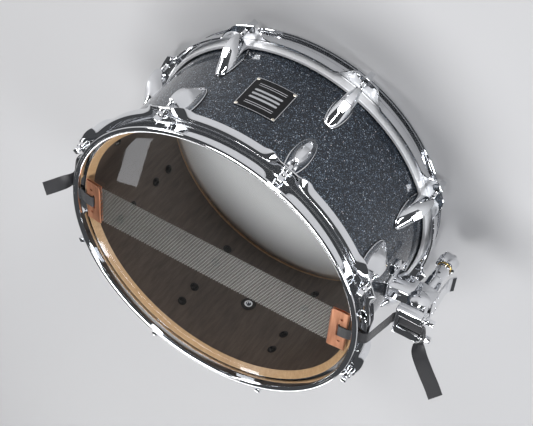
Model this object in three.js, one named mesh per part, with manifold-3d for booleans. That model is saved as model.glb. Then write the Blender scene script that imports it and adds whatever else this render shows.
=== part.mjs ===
// Snare drum, 14 x 7 inch: plied shell, two heads, two flanged hoops, teardrop lugs, snare wires,
// a throw-off strainer and a butt plate. Millimetres, +Z up, out of the snare side.
// The origin is the centre of the batter head's outer face. The badge faces -Y, the strainer -X, the butt +X.

import * as THREE from 'three';
import { mergeVertices } from 'three/addons/utils/BufferGeometryUtils.js';
import Module from 'manifold-3d';

const wasm = await Module();
wasm.setup();

// ---------------------------------------------------------------- driving dimensions
const SHELL_OUTER = 176.7;
const SHELL_INNER = 169.3;
const SHELL_DEPTH = 177.8;
const EDGE_PEAK = 175.3; // radius of the bearing edge's peak
const EDGE_SLOPE = 8; // height of the edge's inner slope
const EDGE_ROUND = 3; // height of the edge's outer round-over
const FILM = 0.5;
const GAP = 0.3; // clearance kept between pieces that touch
const EAR_DROP = 8.4; // from the bearing edge in to the plane of the hoop's ears
const HOOP_RISE = 20; // from the plane of the ears out to the rim
const RIM_REACH = 7; // from the hoop's bore out to the edge of its rim
const STEEL = 2.3; // hoop sheet
const HOOP_BORE = 178.8;
const HOOP_CORNER = 189.4; // radius where the hoop's ledge turns into its skirt
const SKIRT = 10.5; // height of the hoop's skirt, and reach of its ears past the corner
const FLESH_HOOP_HEIGHT = 12.2;
const LUG_COUNT = 8;
const LUG_FIRST = 22.5; // degrees from the strainer's direction to the first lug
const ROD_CIRCLE = 193.5;
const STRAP_WIDTH = 16;
const STRAP_THICK = 0.8;

const ROUND = 48; // sides of the large rings
const BOTTOM_EDGE = FILM + GAP;
const TOP_EDGE = BOTTOM_EDGE + SHELL_DEPTH;
const MIDDLE = (BOTTOM_EDGE + TOP_EDGE) / 2;
const HALF = SHELL_DEPTH / 2;
const SNARE_FACE = TOP_EDGE + GAP + FILM;
const EAR = HALF - EAR_DROP; // ear plane above the shell's middle

// ---------------------------------------------------------------- materials
const finish = (color, roughness, metalness, more = {}) =>
  new THREE.MeshStandardMaterial({ color, roughness, metalness, ...more });
const chrome = finish(0xd8dadc, 0.08, 1);
const wrap = finish(0x262d38, 0.15, 0.2);
const badgeMetal = finish(0x17171a, 0.35, 0.6);
const clearFilm = finish(0xdfe3e6, 0.1, 0, { transparent: true, opacity: 0.3 });
const coatedFilm = finish(0xe6e6e2, 0.6, 0);
const aluminium = finish(0xc4c6c8, 0.35, 1);
const steelWire = finish(0xa8aaac, 0.3, 1);
const copper = finish(0xcd7d5a, 0.35, 1);
const ribbonBlack = finish(0x17171a, 0.5, 0);

// ---------------------------------------------------------------- solids
function toSolid(geometry) {
  const bare = geometry.clone();
  for (const name of Object.keys(bare.attributes)) if (name !== 'position') bare.deleteAttribute(name);
  const merged = mergeVertices(bare, 1e-4);
  const solid = new wasm.Manifold(new wasm.Mesh({
    numProp: 3,
    vertProperties: Float32Array.from(merged.attributes.position.array),
    triVerts: Uint32Array.from(merged.index.array),
  }));
  return solid;
}

function toGeometry(solid) {
  const mesh = solid.getMesh();
  const geometry = new THREE.BufferGeometry();
  const stride = mesh.numProp;
  const count = mesh.vertProperties.length / stride;
  const positions = new Float32Array(count * 3);
  for (let i = 0; i < count; i++) {
    for (let k = 0; k < 3; k++) positions[i * 3 + k] = mesh.vertProperties[i * stride + k];
  }
  geometry.setAttribute('position', new THREE.BufferAttribute(positions, 3));
  geometry.setIndex(new THREE.BufferAttribute(Uint32Array.from(mesh.triVerts), 1));
  geometry.computeVertexNormals();
  return geometry;
}

function combine(first, { add = [], cut = [] }) {
  let solid = toSolid(first);
  for (const piece of add) solid = solid.add(toSolid(piece));
  for (const piece of cut) solid = solid.subtract(toSolid(piece));
  return toGeometry(solid);
}

function box(x0, x1, y0, y1, z0, z1) {
  return new THREE.BoxGeometry(x1 - x0, y1 - y0, z1 - z0).translate((x0 + x1) / 2, (y0 + y1) / 2, (z0 + z1) / 2);
}

function cylinder(radius, from, to, sides = 16) {
  const start = new THREE.Vector3(...from);
  const along = new THREE.Vector3(...to).sub(start);
  const turn = new THREE.Quaternion().setFromUnitVectors(new THREE.Vector3(0, 1, 0), along.clone().normalize());
  return new THREE.CylinderGeometry(radius, radius, along.length(), sides)
    .applyQuaternion(turn)
    .translate(...start.addScaledVector(along, 0.5).toArray());
}

// A profile of [radius, height] pairs turned about Z. It runs anticlockwise, with the radius to the right.
function turned(profile, sides = ROUND) {
  const points = profile.map(([r, h]) => new THREE.Vector2(r, h));
  if (profile[0][0] > 0) points.push(points[0].clone());
  return new THREE.LatheGeometry(points, sides).rotateX(Math.PI / 2);
}

// An outline in X and Z, given thickness in Y between two values.
function plateXZ(outline, y0, y1) {
  const shape = outline instanceof THREE.Shape
    ? outline
    : new THREE.Shape(outline.map(([x, z]) => new THREE.Vector2(x, z)));
  return new THREE.ExtrudeGeometry(shape, { depth: y1 - y0, bevelEnabled: false, curveSegments: 8 })
    .rotateX(Math.PI / 2)
    .translate(0, y1, 0);
}

// An outline in X and Y, given thickness in Z between two values.
function plateXY(shape, z0, z1, curveSegments = 6) {
  return new THREE.ExtrudeGeometry(shape, { depth: z1 - z0, bevelEnabled: false, curveSegments })
    .translate(0, 0, z0);
}

// Joins closed sections of equal length, each an array of [x, y, z], into one skin.
function loft(sections, { ring = false } = {}) {
  const sides = sections[0].length;
  const positions = sections.flat(2);
  const index = [];
  const spans = ring ? sections.length : sections.length - 1;
  for (let s = 0; s < spans; s++) {
    const next = (s + 1) % sections.length;
    for (let i = 0; i < sides; i++) {
      const j = (i + 1) % sides;
      const [a, b, c, d] = [s * sides + i, s * sides + j, next * sides + j, next * sides + i];
      index.push(a, b, c, a, c, d);
    }
  }
  if (!ring) {
    const last = (sections.length - 1) * sides;
    for (let i = 1; i < sides - 1; i++) {
      index.push(0, i + 1, i);
      index.push(last, last + i, last + i + 1);
    }
  }
  const geometry = new THREE.BufferGeometry();
  geometry.setAttribute('position', new THREE.Float32BufferAttribute(positions, 3));
  geometry.setIndex(index);
  return facingOut(geometry);
}

function facingOut(geometry) {
  const p = geometry.attributes.position;
  const index = geometry.index;
  const [a, b, c] = [new THREE.Vector3(), new THREE.Vector3(), new THREE.Vector3()];
  let volume = 0;
  for (let i = 0; i < index.count; i += 3) {
    a.fromBufferAttribute(p, index.getX(i));
    b.fromBufferAttribute(p, index.getX(i + 1));
    c.fromBufferAttribute(p, index.getX(i + 2));
    volume += a.dot(b.cross(c));
  }
  if (volume < 0) {
    for (let i = 0; i < index.count; i += 3) {
      const first = index.getX(i);
      index.setX(i, index.getX(i + 2));
      index.setX(i + 2, first);
    }
  }
  geometry.computeVertexNormals();
  return geometry;
}

// A flat strap along stations of { at: [x, y, z], across: [x, y, z] }.
function ribbon(stations) {
  const centres = stations.map(({ at }) => new THREE.Vector3(...at));
  const sections = stations.map(({ across }, i) => {
    const before = centres[Math.max(i - 1, 0)];
    const after = centres[Math.min(i + 1, centres.length - 1)];
    const along = after.clone().sub(before).normalize();
    const wide = new THREE.Vector3(...across);
    wide.addScaledVector(along, -wide.dot(along)).normalize();
    const up = along.clone().cross(wide);
    return [[-1, -1], [1, -1], [1, 1], [-1, 1]].map(([w, u]) => centres[i].clone()
      .addScaledVector(wide, w * STRAP_WIDTH / 2)
      .addScaledVector(up, u * STRAP_THICK / 2)
      .toArray());
  });
  return loft(sections);
}

// ---------------------------------------------------------------- the drum's root group
const drum = new THREE.Group();
drum.name = 'snare_drum';

function place(name, geometry, material, parent = drum) {
  const mesh = new THREE.Mesh(geometry, material);
  mesh.name = name;
  parent.add(mesh);
  return mesh;
}

// ---------------------------------------------------------------- shell, vent and badge
const VENT_HOLE = 5.6;
function shellGeometry() {
  const ring = turned([
    [SHELL_OUTER, BOTTOM_EDGE + EDGE_ROUND],
    [SHELL_OUTER, TOP_EDGE - EDGE_ROUND],
    [EDGE_PEAK, TOP_EDGE],
    [SHELL_INNER, TOP_EDGE - EDGE_SLOPE],
    [SHELL_INNER, BOTTOM_EDGE + EDGE_SLOPE],
    [EDGE_PEAK, BOTTOM_EDGE],
  ]);
  return combine(ring, { cut: [cylinder(VENT_HOLE, [0, 150, MIDDLE], [0, 190, MIDDLE])] });
}
place('shell', shellGeometry(), wrap);

function ventGeometry() {
  const bore = 3.4;
  const barrel = VENT_HOLE - GAP;
  const flange = 8.5;
  const face = SHELL_OUTER + GAP;
  const grommet = turned([
    [bore, SHELL_INNER - 1],
    [barrel, SHELL_INNER - 1],
    [barrel, face],
    [flange, face],
    [flange - 0.6, face + 1.2],
    [bore + 0.8, face + 1.8],
    [bore, face + 1.2],
  ], 16);
  return grommet.rotateX(-Math.PI / 2).translate(0, 0, MIDDLE);
}
place('vent_grommet', facingOut(mergeBare(ventGeometry())), chrome);

function mergeBare(geometry) {
  geometry.deleteAttribute('normal');
  geometry.deleteAttribute('uv');
  return mergeVertices(geometry, 1e-4);
}

const BADGE = 50;
function badgeGeometry() {
  const inner = SHELL_OUTER + GAP;
  const outer = inner + 1.2;
  const reach = BADGE / 2 / inner;
  const shape = new THREE.Shape();
  shape.absarc(0, 0, outer, -Math.PI / 2 - reach, -Math.PI / 2 + reach, false);
  shape.absarc(0, 0, inner, -Math.PI / 2 + reach, -Math.PI / 2 - reach, true);
  return plateXY(shape, MIDDLE - BADGE / 2, MIDDLE + BADGE / 2, 8);
}
place('badge', badgeGeometry(), badgeMetal);

// ---------------------------------------------------------------- heads
// Pieces of one end are drawn with the shell's middle at height 0 and that end's playing face upwards.
function filmGeometry() {
  const under = HALF + GAP;
  const over = under + FILM;
  return turned([
    [0, under],
    [EDGE_PEAK + 0.1, under],
    [177, EAR + 6.8],
    [177.7, EAR - 0.9],
    [178.2, EAR - 0.9],
    [177.5, EAR + 7.1],
    [EDGE_PEAK + 0.4, over],
    [0, over],
  ]);
}

function fleshHoopGeometry() {
  const top = EAR - STEEL / 2 - GAP;
  const foot = top - FLESH_HOOP_HEIGHT;
  const inner = HOOP_BORE - 0.2;
  const outer = inner + 3.6;
  return turned([[inner, foot], [outer, foot], [outer, top], [inner, top]]);
}

// ---------------------------------------------------------------- hoops
const FOLD_FLAT = 3; // degrees each side of a rod where the skirt lies flat as an ear
const FOLD_END = 10.5; // degrees each side of a rod where the skirt stands upright again
const FOLD_STATIONS = [FOLD_FLAT, 5.5, 8, FOLD_END, 15];
const HOOP_STATIONS = [...FOLD_STATIONS.map((offset) => -offset).reverse(), ...FOLD_STATIONS, 180 / LUG_COUNT];

function hoopSection(offset) {
  const t = THREE.MathUtils.clamp((FOLD_END - Math.abs(offset)) / (FOLD_END - FOLD_FLAT), 0, 1);
  const fold = t * t * (3 - 2 * t) * Math.PI / 2;
  const out = [Math.sin(fold), -Math.cos(fold)];
  const side = [Math.cos(fold), Math.sin(fold)];
  const skirt = (along, across) => [
    HOOP_CORNER + out[0] * along + side[0] * across,
    EAR + out[1] * along + side[1] * across,
  ];
  const half = STEEL / 2;
  const rim = EAR + HOOP_RISE;
  const wall = HOOP_BORE + STEEL;
  const lip = HOOP_BORE + RIM_REACH;
  const round = 1.6;
  const droop = 3.8;
  return [
    [HOOP_BORE, EAR - half],
    [HOOP_BORE, rim - round],
    [HOOP_BORE + round, rim],
    [lip, rim],
    [lip, rim - droop],
    [lip - STEEL, rim - droop],
    [wall, rim - STEEL],
    [wall, EAR + half],
    skirt(0, half),
    skirt(SKIRT, half),
    skirt(SKIRT, -half),
    [HOOP_CORNER - half * Math.cos(fold), EAR - half],
  ];
}

function hoopGeometry({ gates }) {
  const pitch = 360 / LUG_COUNT;
  const sections = [];
  for (let k = 0; k < LUG_COUNT; k++) {
    for (const offset of HOOP_STATIONS) {
      const angle = THREE.MathUtils.degToRad(LUG_FIRST + k * pitch + offset);
      sections.push(hoopSection(offset).map(([r, h]) => [r * Math.cos(angle), r * Math.sin(angle), h]));
    }
  }
  const ring = loft(sections, { ring: true });
  const holes = rodAngles().map((angle) => {
    const [x, y] = [ROD_CIRCLE * Math.cos(angle), ROD_CIRCLE * Math.sin(angle)];
    return cylinder(3.6, [x, y, EAR - 5], [x, y, EAR + 5], 8);
  });
  if (!gates) return combine(ring, { cut: holes });
  const sill = EAR + 6.3;
  const gate = { half: 31, height: 7.2 };
  const across = (middle, reach, z0, z1) => [-1, 1].map((s) => box(s * middle - reach, s * middle + reach,
    -gate.half, gate.half, z0, z1));
  const openings = across(183, 7, sill, sill + gate.height);
  const lips = across(185.2, 5.8, sill - STEEL, sill);
  return combine(ring, { add: lips, cut: [...holes, ...openings] });
}

function rodAngles() {
  return Array.from({ length: LUG_COUNT }, (_, k) => THREE.MathUtils.degToRad(LUG_FIRST + k * 360 / LUG_COUNT));
}

// ---------------------------------------------------------------- lugs and tension rods
const LUG_TIP = 13; // heights above the shell's middle
const LUG_BREAK = 40;
const LUG_NOSE = 65;
const ROD_OFFSET = ROD_CIRCLE - SHELL_OUTER;

// One lug on the +X side: { height, half width, how far it stands out, half width of its ridge }.
const LUG_SECTIONS = [
  { h: LUG_TIP, w: 4, out: 2.6, ridge: 2.4 },
  { h: LUG_TIP + 7, w: 8, out: 7, ridge: 3.6 },
  { h: LUG_BREAK, w: 10.5, out: 18.6, ridge: 2.6 },
  { h: LUG_BREAK + 9, w: 10.3, out: 21.4, ridge: 3.4 },
  { h: LUG_BREAK + 18, w: 8.4, out: 22.2, ridge: 3.4 },
  { h: LUG_NOSE, w: 5.6, out: ROD_OFFSET + 4.6, ridge: 2.8 },
];
const ROD_DEPTH = 14; // how far a rod reaches into its lug

function lugGeometry() {
  const back = SHELL_OUTER + GAP;
  const sections = LUG_SECTIONS.map(({ h, w, out, ridge }) => {
    const half = [[0, w], [0.3 * out, 0.98 * w], [0.68 * out, 0.8 * w], [0.92 * out, ridge + 0.35 * (w - ridge)],
      [out, ridge * 0.7]];
    const left = half.map(([x, y]) => [back + x, y, h]);
    const right = half.map(([x, y]) => [back + x, -y, h]).reverse();
    return [...left, ...right];
  });
  const bore = cylinder(3.2, [ROD_CIRCLE, 0, LUG_NOSE - ROD_DEPTH - 1], [ROD_CIRCLE, 0, LUG_NOSE + 1], 8);
  return combine(loft(sections), { cut: [bore] });
}

function rodGeometry() {
  const seat = EAR + STEEL / 2 + GAP;
  const body = turned([
    [0, LUG_NOSE - ROD_DEPTH],
    [2.7, LUG_NOSE - ROD_DEPTH],
    [2.7, seat],
    [5.8, seat],
    [5.8, seat + 1.3],
    [4.7, seat + 2.2],
    [4.7, seat + 8.2],
    [0, seat + 8.2],
  ], 8);
  const key = 3.2;
  return combine(body, { add: [box(-key, key, -key, key, seat + 6, EAR + 17)] })
    .translate(ROD_CIRCLE, 0, 0);
}

// ---------------------------------------------------------------- the two ends
const LUG = lugGeometry();
const ROD = rodGeometry();
const FILM_SHAPE = filmGeometry();
const FLESH_HOOP = fleshHoopGeometry();

function makeEnd(side, film) {
  const end = new THREE.Group();
  end.position.z = MIDDLE;
  if (side === 'batter') end.rotation.x = Math.PI;
  drum.add(end);
  place(`${side}_head_film`, facingOut(mergeBare(FILM_SHAPE.clone())), film, end);
  place(`${side}_flesh_hoop`, facingOut(mergeBare(FLESH_HOOP.clone())), aluminium, end);
  place(`${side}_hoop`, hoopGeometry({ gates: side === 'snare' }), chrome, end);
  rodAngles().forEach((angle, k) => {
    const station = new THREE.Group();
    station.rotation.z = angle;
    end.add(station);
    place(`${side}_lug_${k + 1}`, LUG, chrome, station);
    place(`${side}_rod_${k + 1}`, ROD, chrome, station);
  });
}
makeEnd('batter', coatedFilm);
makeEnd('snare', clearFilm);

// ---------------------------------------------------------------- snare wires
const WIRE_COUNT = 24;
const BAND = 56;
const WIRE_END = 153; // half length of the strands
const PLATE_OUT = 171.3;
const PLATE_IN = 150.3;
const PLATE_WIDTH = 61;
const SHEET = 0.7; // copper sheet

// The strands lie side by side, so their outer shape is one ridged band.
function wiresGeometry() {
  const low = SNARE_FACE + GAP + SHEET + GAP;
  const thick = 1.5;
  const pitch = BAND / WIRE_COUNT;
  const outline = new THREE.Shape();
  outline.moveTo(-BAND / 2, low);
  outline.lineTo(BAND / 2, low);
  for (let i = WIRE_COUNT - 1; i >= 0; i--) {
    const y = -BAND / 2 + i * pitch;
    outline.lineTo(y + pitch * 0.95, low + thick * 0.5);
    outline.lineTo(y + pitch * 0.65, low + thick);
    outline.lineTo(y + pitch * 0.35, low + thick);
    outline.lineTo(y + pitch * 0.05, low + thick * 0.5);
  }
  return new THREE.ExtrudeGeometry(outline, { depth: WIRE_END * 2, bevelEnabled: false })
    .rotateX(Math.PI / 2).rotateZ(Math.PI / 2).translate(-WIRE_END, 0, 0);
}
place('snare_wires', wiresGeometry(), steelWire);

// The end plate is one folded sheet: a lower leaf on the head and an upper leaf over the strands' ends.
function endPlateGeometry() {
  const low = SNARE_FACE + GAP;
  const lift = 2.5;
  const folded = plateXZ([
    [PLATE_IN, low],
    [PLATE_OUT - 0.6, low],
    [PLATE_OUT, low + 0.7],
    [PLATE_OUT - 0.4, low + SHEET * 2 + 0.2],
    [PLATE_IN, low + SHEET * 2 + lift],
    [PLATE_IN, low + SHEET + lift],
    [PLATE_OUT - 2.5, low + SHEET + 0.1],
    [PLATE_IN, low + SHEET],
  ], -PLATE_WIDTH / 2, PLATE_WIDTH / 2);
  const slot = box(159, 162, -10, 10, low + SHEET + 0.4, low + 8);
  const holes = [-18, 18].map((y) => cylinder(1.6, [163.5, y, low + SHEET + 0.4], [163.5, y, low + 8], 10));
  return combine(folded, { cut: [slot, ...holes] });
}

// ---------------------------------------------------------------- strainer, drawn with its radius along +X
const strainer = new THREE.Group();
strainer.rotation.z = Math.PI;
drum.add(strainer);

const PIVOT = [218, 110]; // the lever's axis, X and Z
const SHAFT_X = 217; // the adjuster's axis
const CARRIER_FLOOR = 125.6;
const STRAP_BED = 132;
const CLAMP = { inner: 204, outer: 234, half: 20, top: 136.5, plate: 2.6, notch: 9.4 };
const CLAMP_SCREW = { y: 14, z: 129.6, bore: 2.3, clear: 2.4 };
const BASE_FACE = SHELL_OUTER + 0.4;

place('strainer_end_plate', endPlateGeometry(), copper, strainer);

function curvedFlange(halfAngle, thickness, z0, z1) {
  const shape = new THREE.Shape();
  shape.absarc(0, 0, BASE_FACE + thickness, -halfAngle, halfAngle, false);
  shape.absarc(0, 0, BASE_FACE, halfAngle, -halfAngle, true);
  return plateXY(shape, z0, z1, 4);
}

function strainerBaseGeometry() {
  return combine(curvedFlange(0.155, 3.2, 74, 96), {
    add: [curvedFlange(0.085, 3.2, 66, 108), box(BASE_FACE + 1, 206.7, -9, 9, 76, 106)],
  });
}
place('strainer_base', strainerBaseGeometry(), chrome, strainer);

// The housing: a block with a barrel round the lever's axis and a tube down to the adjuster.
const HOUSING = { back: 207, front: 229, half: 13.5, bottom: 84, barrel: 12.2 };
const TUBE = { radius: 8, bore: 5, bottom: 44, top: 90 };
const SOCKET = { radius: 3.4, inner: 9.6, outer: 15 }; // the lever's pins turn in these

function housingGeometry() {
  const [pivotX, pivotZ] = PIVOT;
  const { back, front, half, bottom } = HOUSING;
  const across = (radius, y0, y1, sides) => cylinder(radius, [pivotX, y0, pivotZ], [pivotX, y1, pivotZ], sides);
  const block = box(back, front, -half, half, bottom, pivotZ);
  const barrel = across(HOUSING.barrel, -half, half, 20);
  const tube = cylinder(TUBE.radius, [SHAFT_X, 0, TUBE.bottom], [SHAFT_X, 0, TUBE.top], 16);
  const bore = cylinder(TUBE.bore, [SHAFT_X, 0, TUBE.bottom - 4], [SHAFT_X, 0, CLAMP.top], 12);
  const sockets = [-1, 1].map((s) => across(SOCKET.radius, s * SOCKET.inner, s * SOCKET.outer, 12));
  const behind = box(back - 7, back, -half - 0.5, half + 0.5, bottom - 4, CLAMP.top);
  return combine(block, { add: [barrel, tube], cut: [behind, bore, ...sockets] });
}
place('strainer_housing', housingGeometry(), chrome, strainer);

// The lever's arm is a folded sheet with a cheek each side of the housing, on two capped pins.
const ARM = { web: 231, skin: 1.6, half: 16.1, foot: 84, neck: 72, tip: 62, tipHalf: 11 };
const ARM_TOP = 105; // low enough to pass the clamp's stem when the lever is thrown
const CHEEK_RADIUS = 11;

function leverGeometry() {
  const { web, skin, half, foot, neck, tip, tipHalf } = ARM;
  const cheek = new THREE.Shape();
  cheek.moveTo(web + skin, foot);
  cheek.lineTo(web + skin, ARM_TOP);
  cheek.absarc(PIVOT[0], PIVOT[1], CHEEK_RADIUS, 0.9, 4.1, false);
  const plate = box(web, web + skin, -half, half, foot, ARM_TOP);
  const waist = new THREE.Shape([
    [-half, foot + 0.5], [-tipHalf, neck], [-tipHalf, tip], [tipHalf, tip], [tipHalf, neck], [half, foot + 0.5],
  ].map(([y, z]) => new THREE.Vector2(y, z)));
  const arm = new THREE.ExtrudeGeometry(waist, { depth: skin, bevelEnabled: false })
    .rotateX(Math.PI / 2).rotateZ(Math.PI / 2).translate(web, 0, 0);
  const tab = plateXZ([
    [web, 62.5], [web + 0.6, 59], [web + 3, 55.4], [web + 6, 53], [web + 7, 54.4], [web + 4.2, 56.8],
    [web + 2.2, 59.8], [web + skin, 62.5],
  ], -tipHalf - 1, tipHalf + 1);
  const inside = half - skin;
  const cheeks = [[-half, -inside], [inside, half]].map(([y0, y1]) => plateXZ(cheek, y0, y1));
  const caps = [-1, 1].map((s) => turned([
    [0, 10], [3, 10], [3, 15], [10.6, 15], [10.6, 17.2], [8, 19.5], [0, 20.8],
  ], 14).rotateX(-s * Math.PI / 2).translate(PIVOT[0], 0, PIVOT[1]));
  return combine(plate, { add: [arm, tab, ...cheeks, ...caps] });
}
place('throw_off_lever', leverGeometry(), chrome, strainer);

function clampBlockGeometry() {
  const { inner, outer, half, top, notch } = CLAMP;
  const { y: screwY, z: screwZ, bore } = CLAMP_SCREW;
  const block = box(inner, outer, -half, half, CARRIER_FLOOR, STRAP_BED);
  const shoulders = [-1, 1].map((s) => box(inner, outer, s > 0 ? notch : -half, s > 0 ? half : -notch,
    STRAP_BED - 1, top));
  const bridge = box(inner, inner + 5, -half, half, STRAP_BED + 1.6, top + 0.8);
  const stem = cylinder(4.5, [SHAFT_X, 0, 86], [SHAFT_X, 0, CARRIER_FLOOR + 1], 12);
  const tapped = [-screwY, screwY].map((y) => cylinder(bore, [222, y, screwZ], [outer + 1, y, screwZ], 10));
  return combine(block, { add: [...shoulders, bridge, stem], cut: tapped });
}
place('strap_clamp_block', clampBlockGeometry(), chrome, strainer);

function clampPlateGeometry() {
  const { outer, half, top, notch } = CLAMP;
  const { y: screwY, z: screwZ, clear } = CLAMP_SCREW;
  const x0 = outer + GAP;
  const x1 = x0 + CLAMP.plate;
  const plate = box(x0, x1, -half, half, 122.5, top);
  const passage = box(x0 - 1, x1 + 1, -notch, notch, STRAP_BED - 0.4, top + 1);
  const holes = [-screwY, screwY].map((y) => cylinder(clear, [x0 - 1, y, screwZ], [x1 + 1, y, screwZ], 10));
  return combine(plate, { cut: [passage, ...holes] });
}
place('strap_clamp_plate', clampPlateGeometry(), chrome, strainer);

// A drum-key screw along +X, its head's seat at X 0.
function keyScrewGeometry() {
  const shaft = turned([[0, -13], [2, -13], [2, 0], [4.3, 0], [4.3, 2.2], [3.4, 3.2], [0, 3.4]], 10);
  return combine(shaft, { add: [box(-2.9, 2.9, -2.9, 2.9, 2, 10)] }).rotateY(Math.PI / 2);
}
const KEY_SCREW = keyScrewGeometry();
[[-CLAMP_SCREW.y, 'right'], [CLAMP_SCREW.y, 'left']].forEach(([y, side]) => {
  const seat = CLAMP.outer + CLAMP.plate + GAP * 2;
  place(`strap_clamp_screw_${side}`, KEY_SCREW, chrome, strainer).position.set(seat, y, CLAMP_SCREW.z);
});

function knobGeometry() {
  const lobes = 6;
  const radius = { mean: 10.9, wave: 0.9 };
  const outline = new THREE.Shape();
  const steps = lobes * 6;
  for (let i = 0; i < steps; i++) {
    const a = i / steps * Math.PI * 2;
    const r = radius.mean + radius.wave * Math.cos(lobes * a);
    outline[i ? 'lineTo' : 'moveTo'](r * Math.cos(a), r * Math.sin(a));
  }
  const collar = cylinder(7, [0, 0, 38], [0, 0, 43.6], 16);
  const rod = cylinder(3, [0, 0, 42], [0, 0, 82], 10);
  const cap = cylinder(8.6, [0, 0, 23.6], [0, 0, 26], 16);
  return combine(plateXY(outline, 25, 39.5), { add: [collar, cap, rod] });
}
place('adjuster_knob', knobGeometry(), chrome, strainer).position.x = SHAFT_X;

// Straps. The loose tails leave the clamps half turned, with the natural curl of a stiff ribbon.
const ALONG_Y = [0, 1, 0];
const flat = (x, z) => ({ at: [x, 0, z], across: ALONG_Y });
const STRAINER_STRAP = [
  flat(163.6, SNARE_FACE + 4.1), flat(171.8, SNARE_FACE + 3), flat(180.5, SNARE_FACE + 0.4),
  flat(189.8, SNARE_FACE - 1.2), flat(192.4, SNARE_FACE - 2.8), flat(193.8, SNARE_FACE - 7.4), flat(200.9, 139.4),
];
place('strainer_strap', ribbon(STRAINER_STRAP), ribbonBlack, strainer);

const STRAINER_TAIL = [
  flat(201, 138.8), flat(201.5, 135), flat(203, 133), flat(205.5, 132.75), flat(234.4, 132.75),
  flat(238.2, 133.2),
  { at: [241, -0.8, 136.2], across: [0.1, 0.98, 0.18] },
  { at: [241.5, -2.6, 141.5], across: [0.4, 0.88, 0.15] },
  { at: [240.6, -4.6, 148], across: [0.65, 0.72, -0.12] },
  { at: [246, -9.4, 155.4], across: [0.78, 0.42, -0.44] },
  { at: [258.7, -20.4, 163], across: [0.72, 0.26, -0.64] },
  { at: [271.8, -31.3, 169.5], across: [0.69, 0.25, -0.67] },
  { at: [280.5, -39.1, 174.5], across: [0.69, 0.25, -0.67] },
];
place('strainer_strap_tail', ribbon(STRAINER_TAIL), ribbonBlack, strainer);

// ---------------------------------------------------------------- butt, drawn with its radius along +X
place('butt_end_plate', endPlateGeometry(), copper, drum);

const BUTT_BED = 134;
const BUTT_SCREW = { x: 205.5, y: 14 };
function buttBaseGeometry() {
  return combine(curvedFlange(0.15, 3, 108, 128), {
    add: [curvedFlange(0.08, 3, 100, 136), box(BASE_FACE + 1, 212, -20, 20, 112, BUTT_BED)],
    cut: [-BUTT_SCREW.y, BUTT_SCREW.y].map((y) => cylinder(CLAMP_SCREW.bore, [BUTT_SCREW.x, y, 118],
      [BUTT_SCREW.x, y, BUTT_BED + 1], 10)),
  });
}
place('butt_base', buttBaseGeometry(), chrome, drum);

function buttPlateGeometry() {
  const z0 = BUTT_BED + GAP * 2 + STRAP_THICK;
  const z1 = z0 + CLAMP.plate;
  const holes = [-BUTT_SCREW.y, BUTT_SCREW.y].map((y) => cylinder(CLAMP_SCREW.clear, [BUTT_SCREW.x, y, z0 - 1],
    [BUTT_SCREW.x, y, z1 + 1], 10));
  return combine(box(200, 211, -20, 20, z0, z1), { cut: holes });
}
place('butt_clamp_plate', buttPlateGeometry(), chrome, drum);

[[-BUTT_SCREW.y, 'right'], [BUTT_SCREW.y, 'left']].forEach(([y, side]) => {
  const screw = place(`butt_clamp_screw_${side}`, KEY_SCREW, chrome, drum);
  screw.rotation.y = -Math.PI / 2;
  screw.position.set(BUTT_SCREW.x, y, BUTT_BED + GAP * 3 + STRAP_THICK + CLAMP.plate);
});

const BUTT_STRAP = [
  ...STRAINER_STRAP.slice(0, 6),
  flat(195.2, 150), flat(195.4, 140), flat(196.2, 136.4), flat(198.4, BUTT_BED + 0.7), flat(211.5, BUTT_BED + 0.7),
  { at: [214, 0.2, 136.4], across: ALONG_Y },
  { at: [214.3, 0.6, 143], across: ALONG_Y },
  { at: [211.5, 0.3, 149], across: ALONG_Y },
  { at: [207, 0.5, 155.8], across: ALONG_Y },
  { at: [203.7, 0.8, 162], across: ALONG_Y },
  { at: [204.6, 1.6, 168], across: [-0.15, 0.95, 0.15] },
  { at: [213, 6, 177.2], across: [-0.42, 0.76, 0.45] },
  { at: [226.6, 11.9, 190.6], across: [-0.48, 0.67, 0.57] },
];
place('butt_strap', ribbon(BUTT_STRAP), ribbonBlack, drum);

export default drum;
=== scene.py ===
"""A 14 x 7 inch snare drum: the looks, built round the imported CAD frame.

Shapes are worked out in millimetres, in the CAD's own frame: +Z out of the snare side, the badge facing -Y,
the strainer at -X and the butt at +X. They turn into metres when a mesh is made.
"""

import math
from contextlib import contextmanager

import bmesh
import bpy
from mathutils import Matrix, Quaternion, Vector


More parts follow.
